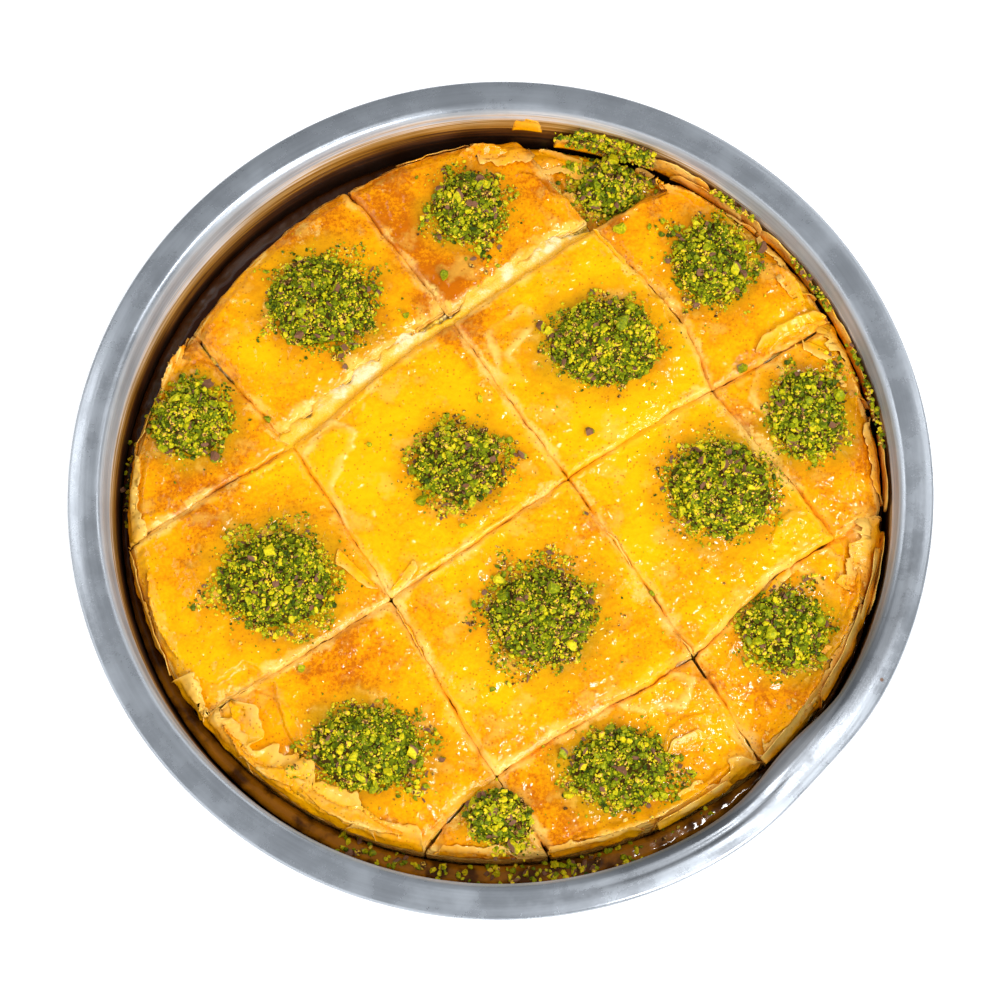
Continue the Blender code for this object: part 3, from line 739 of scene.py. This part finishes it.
def runMaterial():  # ivory on the torn edge, soaked where it lies deep
    look = creamLook
    material, place = newMaterial("openCream")
    patches = noiseOf(place, 160.0, 5.0, 0.65)
    soak = add(field(place, "soak"), spread(patches, -0.35, 0.35))
    return dressed(material, {
        "Base Color": colourRamp(soak, (
            (0.12, look["pale"]), (0.45, look["buttery"]), (0.85, look["honey"]))),
        "Normal": bump(useGroup(ripples, place, scale=420.0, fine=0.4), 0.7, 0.0010),
        "Roughness": spread(patches, 0.18, 0.4),
        "Specular IOR Level": 0.3})


def makeCreamRun(material, trees):  # cream smeared over the torn edge and down into the open cut
    bm = bmesh.new()
    soak = bm.verts.layers.float.new("soak")
    bmesh.ops.create_grid(bm, x_segments=260, y_segments=24, size=1)
    last = len(openCut) - 1
    squares = []
    for i in range(last + 1):
        way = openCut[min(i + 1, last)] - openCut[max(i - 1, 0)]
        squares.append(Vector((-way.y, way.x)).normalized())
    for vertex in bm.verts:
        along = (vertex.co.x + 1) / 2 * (last - 0.001)
        first = int(along)
        middle = openCut[first].lerp(openCut[first + 1], along - first)
        square = squares[first].lerp(squares[first + 1], along - first)
        taper = min(1, 5 * (1 - abs(vertex.co.x)) + 0.1)
        share = (vertex.co.y + 1) / 2
        x, y = middle
        reach = taper * (creamLook["runWidth"] + 4 * wave(x, y, 0, 9, 9) + 2 * wave(x, y, 0, 3, 9))
        reach *= 1 - 0.6 * exp(-((x + 17)**2 + (y - 62)**2) / 80)  # the corner of the second slice juts out
        spot = max(exp(-((x - px)**2 + (y - py)**2) / size**2) for px, py, size in creamLook["paleSpots"])
        offset = (reach + 1.8) * share - 1.8
        x, y = middle + square * offset
        z = creamLook["runTop"] - 0.3 + 1.4 * smoothStep(1.0, 5, offset)
        z += 0.6 * wave(x, y, 0, 7, 9) + 0.4 * wave(x, y, 0, 2.6, 9)
        hits = [surfaceUnder(tree, x, y)[0] for tree in trees]
        hits = [hit.z for hit in hits if hit is not None]
        if hits and offset > 2:
            z = max(z, max(hits) + 0.25 + 0.2 * wave(x, y, 0, 2, 9))
        vertex.co = Vector((x, y, z - 0.8 * smoothStep(0.85, 1, share)))
        vertex[soak] = 0.95 - 0.4 * smoothStep(0.5, 3.5, offset) - 0.4 * spot * smoothStep(0.5, 4, offset)
    bmesh.ops.recalc_face_normals(bm, faces=bm.faces)
    bm = modified(bm, "SOLIDIFY", thickness=1.2, offset=-1)
    finishPiece("creamRun", bm, material)


# Syrup: the pool between the pastry and the tin

syrupLook = {
    "deep": (0.040, 0.010, 0.0003),
    # painted light: the lit amber colour, used only towards the south
    "thin": (0.34, 0.12, 0.004),
    "roughness": 0.05,
    "meniscus": 1.2,  # how far it creeps up what it wets
}


def syrupMaterial():
    look = syrupLook
    material, place = newMaterial("amberSyrup")
    clouds = noiseOf(place, 80.0, 4.0)
    thin = times(fromTo(clouds, 0.4, 0.56, 0.1, 1.0), fromTo(partsOf(place)[1], 0.0, -0.12))  # painted light: amber patches only towards the south, where light falls; the north stays dark
    return dressed(material, {
        "Base Color": mixColours(thin, look["deep"], look["thin"]),
        "Normal": bump(useGroup(ripples, place, scale=60.0, fine=0.2), 0.12, 0.001),
        "Roughness": spread(clouds, look["roughness"], look["roughness"] + 0.06),
        "IOR": 1.4})


def makeSyrup(material):
    bm = remeshed(nodeShape("syrup"), 1.2)
    level = boxOf("syrup")[1].z
    for i in range(4):
        bmesh.ops.smooth_vert(bm, verts=bm.verts, factor=0.5)
    edges = KDTree(len(bm.verts))
    for vertex in bm.verts:
        if vertex.co.z < level - 1:
            edges.insert((vertex.co.x, vertex.co.y, 0), vertex.index)
    edges.balance()
    for vertex in bm.verts:
        x, y, z = vertex.co
        if z > level - 0.6:
            near = edges.find((x, y, 0))[2]
            vertex.co.z += syrupLook["meniscus"] * exp(-near / 0.9) - 0.4 + 0.15 * wave(x, y, 0, 12)
    return finishPiece("syrupPool", bm, material, ["syrup"])


# Bottom sheets: hidden under the cream, seen only past the cuts


def baseMaterial():
    material, place = newMaterial("soakedFilo")
    leaves = noiseOf(stretched(place, (1, 1, 14)), 160.0, 4.0, 0.6)
    return dressed(material, {
        "Base Color": mixColours(fromTo(leaves, 0.35, 0.65), crustLook["orange"], crustLook["straw"]),
        "Normal": bump(leaves, 0.6, 0.0008),
        "Roughness": spread(leaves, 0.3, 0.5)})


# Ground pistachio

nutLook = {
    "tints": (  # along the random value that each bit has
        (0.00, (0.03, 0.055, 0.001)), (0.20, (0.10, 0.14, 0.001)), (0.42, (0.28, 0.31, 0.002)),
        (0.62, (0.56, 0.49, 0.004)), (0.80, (0.86, 0.64, 0.01)), (0.88, (0.66, 0.38, 0.10)),
        (0.93, (0.20, 0.08, 0.01)), (1.00, (0.07, 0.03, 0.004)),
    ),
    "skin": (0.20, 0.09, 0.045),
    # painted shade: the heap under the loose bits is near black, standing in for grains in shadow
    "core": (0.050, 0.022, 0.001),
    "voxel": 0.75,
    "fine": (0.65, 1.6),  # widths of the ground bits
    "finePerMm2": 2.0,
    "coarse": (1.7, 3.2),
    "coarsePerMound": 150,
    "chunk": (3.4, 6.4),
    "chunksPerMound": 8,
    "strays": 420,  # bits round each mound
    "brown": {7: 0.26, 11: 0.24, 6: 0.15, 10: 0.13, 14: 0.13},  # share of brown bits where it isn't a tenth
}


def nutMaterial():
    look = nutLook
    material, place = newMaterial("pistachio")
    grain = noiseOf(place, 1100.0, 2.0)
    value = add(field(place, "tint"), spread(grain, -0.12, 0.12))
    return dressed(material, {
        "Base Color": mixColours(field(place, "skin"), colourRamp(value, look["tints"]), look["skin"]),
        "Normal": bump(grain, 0.5, 0.0004),
        "Roughness": spread(grain, 0.42, 0.62),
        "Specular IOR Level": 0.15,
        "Subsurface Weight": 0.1,
        "Subsurface Radius": (0.0008, 0.0012, 0.0003)})


def coreMaterial():
    # painted shade: the heap runs from the near-black core colour up to the darker bit tints, as grains in
    # shadow
    material, place = newMaterial("nutMeal")
    grain = noiseOf(place, 900.0, 3.0, 0.6)
    value = times(partsOf(cellsOf(place, 750.0)["Color"], "Color")[0], 0.36)
    return dressed(material, {
        "Base Color": colourRamp(value, ((0.08, nutLook["core"]), *nutLook["tints"][1:3])),
        "Normal": bump(grain, 0.8, 0.0008),
        "Roughness": spread(grain, 0.5, 0.8),
        "Specular IOR Level": 0.1})


def nutShapes(dice):  # chopped lumps of unit width: 8 small bits, 2 thin skins and 6 big chunks
    shapes = []
    for i in range(16):
        big = i >= 10
        bm = bmesh.new()
        bmesh.ops.create_icosphere(bm, subdivisions=3 if big else 1, radius=0.5)
        skin = bm.verts.layers.float.new("skin")
        cuts = [(Vector((dice.gauss(0, 1), dice.gauss(0, 1), dice.gauss(0, 1))).normalized(),
                 dice.uniform(0.16, 0.38)) for k in range(9 if big else 2)]
        for vertex in bm.verts:
            x, y, z = vertex.co
            vertex[skin] = i in (8, 9)
            if i % 2 and big:
                vertex[skin] = smoothStep(0.1, 0.16, z + 0.2 * wave(x, y, z, 0.3, i))
            for facing, depth in cuts:
                beyond = vertex.co.dot(facing) - depth
                if beyond > 0:
                    vertex.co -= facing * beyond
            vertex.co *= 1 + 0.12 * wave(x, y, z, 0.3, 7 * i + 3) + (0 if big else dice.uniform(-0.22, 0.22))
        flat = 0.28 if i in (8, 9) else dice.uniform(0.55, 0.95)
        stretch = Matrix.Diagonal((1.0, dice.uniform(0.6, 1.0), flat, 1.0))
        bmesh.ops.transform(bm, matrix=stretch, verts=bm.verts)
        shapes.append(meshFrom(bm, "bit"))
    return shapes


def turnedBit(dice, place, size):
    turn = Matrix.Rotation(dice.uniform(0, tau), 4, "Z") @ Matrix.Rotation(dice.uniform(0, pi), 4, "X")
    return Matrix.Translation(place) @ turn @ Matrix.Scale(size, 4)


class Scatter:  # collects copies of the small shapes into one bmesh
    def __init__(self, shapes, dice, brown=0.1):
        self.brown = brown
        self.bm = bmesh.new()
        self.bm.verts.layers.float.new("skin")
        self.shapes = shapes
        self.dice = dice
        self.tints = []

    def add(self, place, size, tint, kind):
        copy = self.shapes[kind].copy()
        copy.transform(turnedBit(self.dice, place, size))
        self.bm.from_mesh(copy)
        self.tints += [tint] * len(copy.vertices)
        bpy.data.meshes.remove(copy)

    def addBit(self, place, size):  # the kind and the tint go by chance
        dice = self.dice
        clump = 0.4 * wave(place.x, place.y, place.z, 4.5, 11)
        tint = min(0.84, max(0.0, dice.gauss(0.48 + clump, 0.21)))
        kind = dice.randrange(8)
        if dice.random() < self.brown:
            tint = dice.uniform(0.86, 1.0)
        if 1.8 < size < 3.4 and dice.random() < 0.1:
            kind = dice.choice((8, 9))
        elif size > 3:
            kind = dice.randrange(10, 16)
            tint = dice.uniform(0.3, 0.72)
        self.add(place, size, tint, kind)

    def finish(self, name, material):
        finishPiece(name, self.bm, material, (), {"tint": self.tints}, False)


def makeMound(number, shapes, material, core, crustTree):
    look = nutLook
    dice = random.Random(100 + number)
    low, high = boxOf(f"pistachio_{number}")
    middle, half = (low + high) / 2, (high - low) / 2
    solid = remeshed(nodeShape(f"pistachio_{number}"), look["voxel"])
    for i in range(3):
        bmesh.ops.smooth_vert(solid, verts=solid.verts, factor=0.5)
    solid.normal_update()
    for vertex in solid.verts:
        x, y, z = vertex.co
        rough = 0.5 * wave(x, y, z, 1.1, number) + 0.4 * wave(x, y, z, 2.6) + 0.9 * wave(x, y, z, 5, number)
        vertex.co += vertex.normal * (rough - 0.6)
    heap = BVHTree.FromBMesh(solid)
    finishPiece(f"nutMeal{number}", solid, core, [f"pistachio_{number}"])

    scatter = Scatter(shapes, dice, look["brown"].get(number, 0.1))
    fineCount = round(look["finePerMm2"] * pi * half.x * half.y)
    sizes = [dice.uniform(*look["chunk"]) for i in range(look["chunksPerMound"])]
    sizes += [dice.uniform(*look["coarse"]) for i in range(look["coarsePerMound"])]
    sizes += [look["fine"][0] + (look["fine"][1] - look["fine"][0]) * dice.random()**1.8
              for i in range(fineCount)]

    def onEllipse(away, angle):
        return middle.x + away * half.x * cos(angle), middle.y + away * half.y * sin(angle)

    for size in sizes:
        angle = dice.uniform(0, tau)
        reach = 1.12 + 0.5 * wave(cos(angle), sin(angle), 0, 0.6, number)
        reach = max(1.03, reach + 0.3 * wave(cos(angle), sin(angle), 0, 0.2, number))
        away = dice.random()**0.5 * reach
        x, y = onEllipse(away, angle)
        place, normal = surfaceUnder(heap, x, y)
        if place is None:
            place, normal = surfaceUnder(crustTree, x, y)
        if place is None:
            continue
        scatter.addBit(place + normal * size * dice.uniform(0.0, 0.4), size)
    for i in range(look["strays"]):
        away = 0.95 + abs(dice.gauss(0, 0.3))
        angle = dice.uniform(0, tau)
        x, y = onEllipse(away, angle)
        place = surfaceUnder(crustTree, x, y)[0]
        if place is None or place.z < low.z - 6 or wave(x, y, 0, 5, 3) < dice.uniform(-0.5, 0.9) * (away - 1):
            continue
        size = 0.45 + 1.3 * dice.random()**3
        scatter.addBit(place + Vector((0, 0, 0.2 * size)), size)
    scatter.finish(f"groundNuts{number}", material)


# Loose crumbs on the crust and in the syrup

crumbLook = {
    "onCrust": (  # x, y and width of the bits that can be told apart
        (31, 22, 5.0), (-7, 34, 3.5), (-12.5, -12, 3.5), (-30, 15, 2.6), (85, 45, 6.0), (-82, 27, 4.0),
        (-55, 46, 3.6), (-34, 65, 4.2), (-20, 80, 5.2), (42, 97, 6.0), (-46, 17, 3.0), (30, -8, 2.5),
        (-19, -94, 4.0), (-68, -63, 4.5), (4, -58, 3.0), (53, -36, 3.0), (-2, -70, 3.4), (22, -92, 5.0),
    ),
    "dusting": 160,  # fine bits over all the slices
    "dustedTo": 126,  # radius
    "gap": (128, 136),  # radii between the pastry and the wall
    "wall": 134.5,  # no spilled bit lies further out
    "inSyrup": (  # first and last angle, how many, widths
        (-115, -68, 150, (1.4, 3.8)), (-66, -56, 14, (1.2, 2.6)), (168, 184, 46, (1.2, 3.0)),
        (60, 84, 110, (1.2, 2.8)), (20, 58, 70, (1.2, 3.4)), (0, 18, 26, (1.4, 3.6)),
    ),
    "ledges": (  # heaped on the sheets that stand by the wall: first and last angle, radius, height, how many
        (66, 79, 135.3, 40, 220), (66, 82, 134.6, 36, 150), (66, 80, 133.8, 32.5, 130),
        (48, 56, 135.0, 36.5, 60), (30, 40, 134.8, 35.5, 60), (7, 24, 135.0, 35.0, 90),
    ),
    "spills": (  # x, y, half-widths, how many
        (27, 122, 7, 5, 120), (50, 118, 7, 5, 130), (38, 126, 12, 4, 150), (-6, 90, 5, 9, 60),
        (5, -123, 9, 4, 120), (-28, -104, 6, 4, 50), (60, 98, 6, 4, 40), (118, 44, 7, 6, 60),
    ),
}


def makeCrumbs(shapes, material, crustTrees, syrupTree):
    look = crumbLook
    dice = random.Random(7)
    scatter = Scatter(shapes, dice)

    def crustUnder(x, y):
        hits = [surfaceUnder(tree, x, y)[0] for tree in crustTrees]
        return max((hit for hit in hits if hit is not None), key=lambda hit: hit.z, default=None)

    for x, y, size in look["onCrust"]:
        place = crustUnder(x, y)
        if place:
            tint = dice.uniform(0.3, 0.7)
            scatter.add(place + Vector((0, 0, 0.3 * size)), size, tint, dice.randrange(10, 16))
    for i in range(look["dusting"]):
        radius = look["dustedTo"] * dice.random()**0.5
        place = crustUnder(*polar(radius, dice.uniform(0, tau)))
        if place and place.z > 25:
            size = 0.4 + 1.1 * dice.random()**4
            tint = dice.uniform(0.5, 0.84)
            scatter.add(place + Vector((0, 0, 0.25 * size)), size, tint, dice.randrange(8))
    for first, last, count, widths in look["inSyrup"]:
        for i in range(count):
            angle = radians(dice.uniform(first, last))
            x, y = polar(dice.uniform(*look["gap"]), angle)
            place = surfaceUnder(syrupTree, x, y)[0]
            if place is None or place.z < 15 or (crustUnder(x, y) or place).z > place.z:
                continue
            scatter.addBit(place + Vector((0, 0, 0.6)), dice.uniform(*widths))
    for first, last, middle, height, count in look["ledges"]:
        for i in range(count):
            angle = radians(first + (last - first) * dice.random())
            radius = middle + dice.uniform(-1.2, 0.7)
            place = Vector((*polar(radius, angle), height + dice.gauss(-0.6, 0.8)))
            scatter.addBit(place, dice.uniform(0.8, 2.4))
    for x, y, wide, deep, count in look["spills"]:
        for i in range(count):
            px, py = x + wide * dice.gauss(0, 0.5), y + deep * dice.gauss(0, 0.5)
            place = crustUnder(px, py) or surfaceUnder(syrupTree, px, py)[0]
            if place and hypot(px, py) < look["wall"]:
                size = 0.7 + 2.3 * dice.random()**2
                scatter.addBit(place + Vector((0, 0, 0.3 * size)), size)
    scatter.finish("looseCrumbs", material)


# Tin

tinLook = {
    "grey": (0.35, 0.38, 0.42),
    "filmShadeAndLight": (  # syrup film baked on the wall, by height; the near-black foot is partly painted shade and the near-white upper stop is painted light
        (0.00, (0.035, 0.010, 0.001)), (0.28, (0.12, 0.036, 0.002)), (0.50, (0.42, 0.18, 0.010)),
        (0.70, (0.62, 0.38, 0.13)), (0.90, (0.95, 0.92, 0.90)),
    ),
    "filmHeights": (0.016, 0.037),
    "spot": (0.16, 0.06, 0.01),
    "roughness": 0.26,
    "anisotropic": 0.4,
    "turns": 256,
    "rimRadius": 150.0,
    "sheet": 1.4,
    "cornerRadius": 6.0,
    "wallFoot": 135.5,
    "wallTop": 137.8,
    "shoulder": 3.4,
    "flangeDrop": 0.8,
    "bead": 1.3,
    "dentAngle": radians(-43),
    "dentDepth": 4.2,
    "dentSpread": radians(6),
    "crease": (radians(-78), radians(-45), 143.0, 0.3),  # first and last angle, radius, depth
    "wobble": 0.18,
}


def tinMaterial():
    look = tinLook
    material, place = newMaterial("brushedTin")
    x, y, z = partsOf(place)
    radius = maths("SQRT", add(times(x, x), times(y, y)))
    along = [times(maths("DIVIDE", part, radius), 1.6) for part in (x, y)]
    brushed = noiseOf(combined("XYZ", *along, times(add(radius, z), 600.0)), 1.0, 2.0, 0.7)
    worn = noiseOf(place, 60.0, 5.0, 0.6)
    grain = noiseOf(place, 900.0, 1.0)
    wall = times(fromTo(radius, 0.1392, 0.1378), field(place, "inside"))
    shade = fromTo(brushed, 0.35, 0.62, fromTo(wall, 0.0, 1.0, 0.88, 0.72), 1.0, "LINEAR")
    shade = add(shade, spread(worn, -0.07, 0.06))
    southEast = minus(x, y)
    # painted shade: the inner half of the flange is darkened towards the south-east, where the lamps would
    # otherwise light it white
    paintedShadeSouthEast = times(fromTo(southEast, 0.15, 0.19), fromTo(radius, 0.148, 0.143))
    shade = times(shade, minus(1.0, times(paintedShadeSouthEast, 0.6)))
    rising = add(z, spread(brushed, -0.003, 0.003))
    rising = minus(rising, fromTo(y, 0.09, 0.135, 0.0, 0.009))  # the film reaches higher at the north
    height = fromTo(rising, *look["filmHeights"], kind="LINEAR")
    # the film colours, with painted shade at the foot and painted light near the top, cover the wall below
    # the film height
    filmShadeAndLight = times(fromTo(height, 1.05, 0.8), wall)
    colour = mixColours(filmShadeAndLight, look["grey"], colourRamp(height, look["filmShadeAndLight"]))
    colour = mixColours(1.0, combined("Color", shade, shade, shade), colour, "MULTIPLY")
    spots = useGroup(speckles, place, scale=170.0, size=0.11, amount=0.12)
    spots = times(spots, fromTo(southEast, 0.185, 0.2))
    rough = add(spread(worn, look["roughness"] - 0.06, look["roughness"] + 0.1), spread(grain, -0.015, 0.015))
    around = combined("XYZ", times(y, -1.0), x)
    return dressed(material, {
        "Base Color": mixColours(times(spots, 0.8), colour, look["spot"]),
        "Metallic": fromTo(wall, 0.0, 1.0, 0.6, 0.1),
        "Roughness": add(rough, times(wall, 0.2)),
        "Normal": bump(add(brushed, times(grain, 0.1)), 0.15, 0.00025),
        "Tangent": shaderNode(place.id_data, "VectorMath", {0: around}, operation="NORMALIZE").outputs[0],
        "Anisotropic": look["anisotropic"],
        "Anisotropic Rotation": 0.25})


def arcPoints(x, z, radius, first, last, steps):
    angles = [radians(first + (last - first) * i / steps) for i in range(steps + 1)]
    return [(x + radius * cos(angle), z + radius * sin(angle)) for angle in angles]


def straight(first, last, steps):
    return [(first[0] + (last[0] - first[0]) * i / steps, first[1] + (last[1] - first[1]) * i / steps)
            for i in range(1, steps)]


def tinOutline():  # (radius, height) from the middle inside, over the rim, to the middle outside
    look = tinLook
    high = boxOf("tin")[1]
    corner, sheet = look["cornerRadius"], look["sheet"]
    floor = look["wallFoot"] - corner
    shoulderAt = (look["wallTop"] + look["shoulder"], high.z - look["shoulder"])
    beadAt = (look["rimRadius"] - look["bead"], high.z - look["flangeDrop"] - look["bead"])
    inside = arcPoints(floor, sheet + corner, corner, -90, 0, 8)
    shoulder = arcPoints(*shoulderAt, look["shoulder"], 180, 90, 10)
    bead = arcPoints(*beadAt, look["bead"], 90, -150, 10)
    under = arcPoints(*shoulderAt, look["shoulder"] - sheet, 90, 180, 6)
    outside = arcPoints(floor, sheet + corner, corner + sheet, 0, -90, 6)
    edge = shoulder[-1]
    flange = [(x, edge[1] - look["flangeDrop"] * ((x - edge[0]) / (bead[0][0] - edge[0]))**3)
              for x, z in straight(edge, bead[0], 9)]
    return [(0, sheet), (60, sheet), *inside, *straight(inside[-1], shoulder[0], 14), *shoulder, *flange,
            *bead, *straight(bead[-1], under[0], 3), *under, *straight(under[-1], outside[0], 12), *outside,
            (60, 0), (0, 0)]


def makeTin(material):
    look = tinLook
    foot = look["sheet"] + look["cornerRadius"]
    head = boxOf("tin")[1].z - look["shoulder"]
    outline = tinOutline()
    bm = bmesh.new()
    inside = bm.verts.layers.float.new("inside")
    points = [bm.verts.new((radius, 0, z)) for radius, z in outline]
    for point in points[:outline.index(max(outline))]:  # up to the outermost point of the bead
        point[inside] = 1
    edges = [bm.edges.new(pair) for pair in zip(points, points[1:])]
    bmesh.ops.spin(bm, geom=points + edges, axis=(0, 0, 1), cent=(0, 0, 0), angle=tau,
                   steps=look["turns"], use_merge=True)
    bmesh.ops.remove_doubles(bm, verts=bm.verts, dist=0.005)
    bmesh.ops.recalc_face_normals(bm, faces=bm.faces)
    for vertex in bm.verts:
        x, y, z = vertex.co
        radius = hypot(x, y)
        if radius < look["wallFoot"] - look["cornerRadius"]:
            continue
        angle = atan2(y, x)
        rise = min(1, max(0, (z - foot) / (head - foot)))
        turn = (angle - look["dentAngle"] + pi) % tau - pi
        beyond = max(0, radius - look["wallTop"]) / (look["rimRadius"] - look["wallTop"])
        pushed = look["dentDepth"] * exp(-0.5 * (turn / look["dentSpread"])**2) * rise * (1 - 0.6 * beyond)
        pushed += look["wobble"] * rise * (1 + wave(cos(angle) * 3, sin(angle) * 3, 0, 1))
        vertex.co.xy *= 1 - pushed / radius
        vertex.co.z -= look["wobble"] * rise * (1 + wave(cos(angle) * 2, sin(angle) * 2, 5, 1))
        first, last, middle, deep = look["crease"]
        if first < angle < last and z > head:
            share = sin(pi * (angle - first) / (last - first))**0.5
            vertex.co.z -= deep * share * exp(-((radius - middle) / 0.9)**2)
    finishPiece("spunTin", bm, material, ["tin"])


# Camera, floor and light

viewLook = {
    "azimuth": radians(5.116),
    "elevation": radians(75.37),
    "distance": 1.0,
    "target": (0.000264, -0.0056165, 0.047),
    "lens": 104.34,
    "lamps": {  # place, size and power; all face the middle
        "key": ((0.62, -0.85, 0.95), (0.6, 0.6), 12.4),
        "overhead": ((0.45, -0.55, 1.15), (0.8, 0.8), 1.6),
        "glint": ((0.33, -0.06, 1.2), (0.16, 0.16), 4.8),
        "tall": ((0.72, -0.98, 0.7), (0.5, 1.3), 5.0),
        "back": ((0.75, 0.8, 0.5), (0.9, 0.7), 3.4),
        "west": ((-1.05, 0.0, 0.5), (1.1, 0.75), 4.5),
        "front": ((-0.62, -0.85, 0.5), (1.1, 0.75), 4.5),
        "left": ((-0.75, 0.32, 0.95), (0.4, 0.4), 2.0),
        "right": ((0.85, 0.32, 0.85), (0.4, 0.4), 1.4),
    },
    "floorSize": 12,
    "floorWhite": (0.97, 0.97, 0.97),
    "floorGlow": 0.4,
    "worldGrey": (0.82, 0.87, 0.92),
    "worldStrength": 0.22,
}


def makeCamera():
    look = viewLook
    azimuth, elevation = look["azimuth"], look["elevation"]
    back = Vector((sin(azimuth) * cos(elevation), -cos(azimuth) * cos(elevation), sin(elevation)))
    right = (Vector((1, 0, 0)) - back * back.x).normalized()
    up = back.cross(right)
    data = bpy.data.cameras.new("camera")
    data.lens = look["lens"]
    scene.camera = linked("camera", data)
    matrix = Matrix((right, up, back)).transposed().to_4x4()
    matrix.translation = Vector(look["target"]) + back * look["distance"]
    scene.camera.matrix_world = matrix


def makeLight(name, place, size, power):
    data = bpy.data.lights.new(name, "AREA")
    data.shape = "RECTANGLE"
    data.size, data.size_y = size
    data.energy = power
    light = linked(name, data)
    light.location = place
    light.rotation_euler = (-Vector(place)).to_track_quat("-Z", "Y").to_euler()


def makeStudio():
    look = viewLook
    scene.view_settings.view_transform = "Standard"
    world = bpy.data.worlds.new("studio")
    scene.world = world
    world.use_nodes = True
    background = world.node_tree.nodes["Background"]
    feed(background.inputs["Color"], look["worldGrey"])
    feed(background.inputs["Strength"], look["worldStrength"])
    for name, settings in look["lamps"].items():
        makeLight(name, *settings)
    bm = bmesh.new()
    bmesh.ops.create_grid(bm, x_segments=1, y_segments=1, size=look["floorSize"])
    floor = linked("floor", meshFrom(bm, "floor"))
    floor.data.materials.append(dressed(newMaterial("whiteTable")[0], {
        "Base Color": look["floorWhite"],
        "Roughness": 0.9,
        "Emission Color": (1, 1, 1),
        "Emission Strength": look["floorGlow"]}))


makeCamera()
makeStudio()
print("camera and studio made")

crust = crustMaterial()
crustTrees, cutTrees = {}, {}
for number in sliceNumbers:
    crustTrees[number], cutTrees[number] = makeCrust(number, crust)
    makeLeaves(number, crust, crustTrees[number])
print("crusts and torn leaves made")

cream = creamMaterial()
for number in sliceNumbers:
    if number in creamLook["open"]:
        makeCream(number, cream, crustTrees[number], cutTrees[number])
    else:
        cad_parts[f"cream_{number}"].material_slots[0].material = cream
makeCreamRun(runMaterial(), [crustTrees[1], crustTrees[2]])
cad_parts["bottom_crust"].material_slots[0].material = baseMaterial()
print("cream made")

pool = makeSyrup(syrupMaterial())
bm = bmesh.new()
bm.from_mesh(pool.data)
bmesh.ops.transform(bm, matrix=Matrix.Scale(1 / mm, 4), verts=bm.verts)
syrupTree = BVHTree.FromBMesh(bm)
bm.free()
print("syrup made")

nuts = nutMaterial()
meal = coreMaterial()
shapes = nutShapes(random.Random(3))
for number in sliceNumbers:
    makeMound(number, shapes, nuts, meal, crustTrees[number])
makeCrumbs(shapes, nuts, list(crustTrees.values()), syrupTree)
for shape in shapes:
    bpy.data.meshes.remove(shape)
print("pistachio made")

makeTin(tinMaterial())
print("tin made")
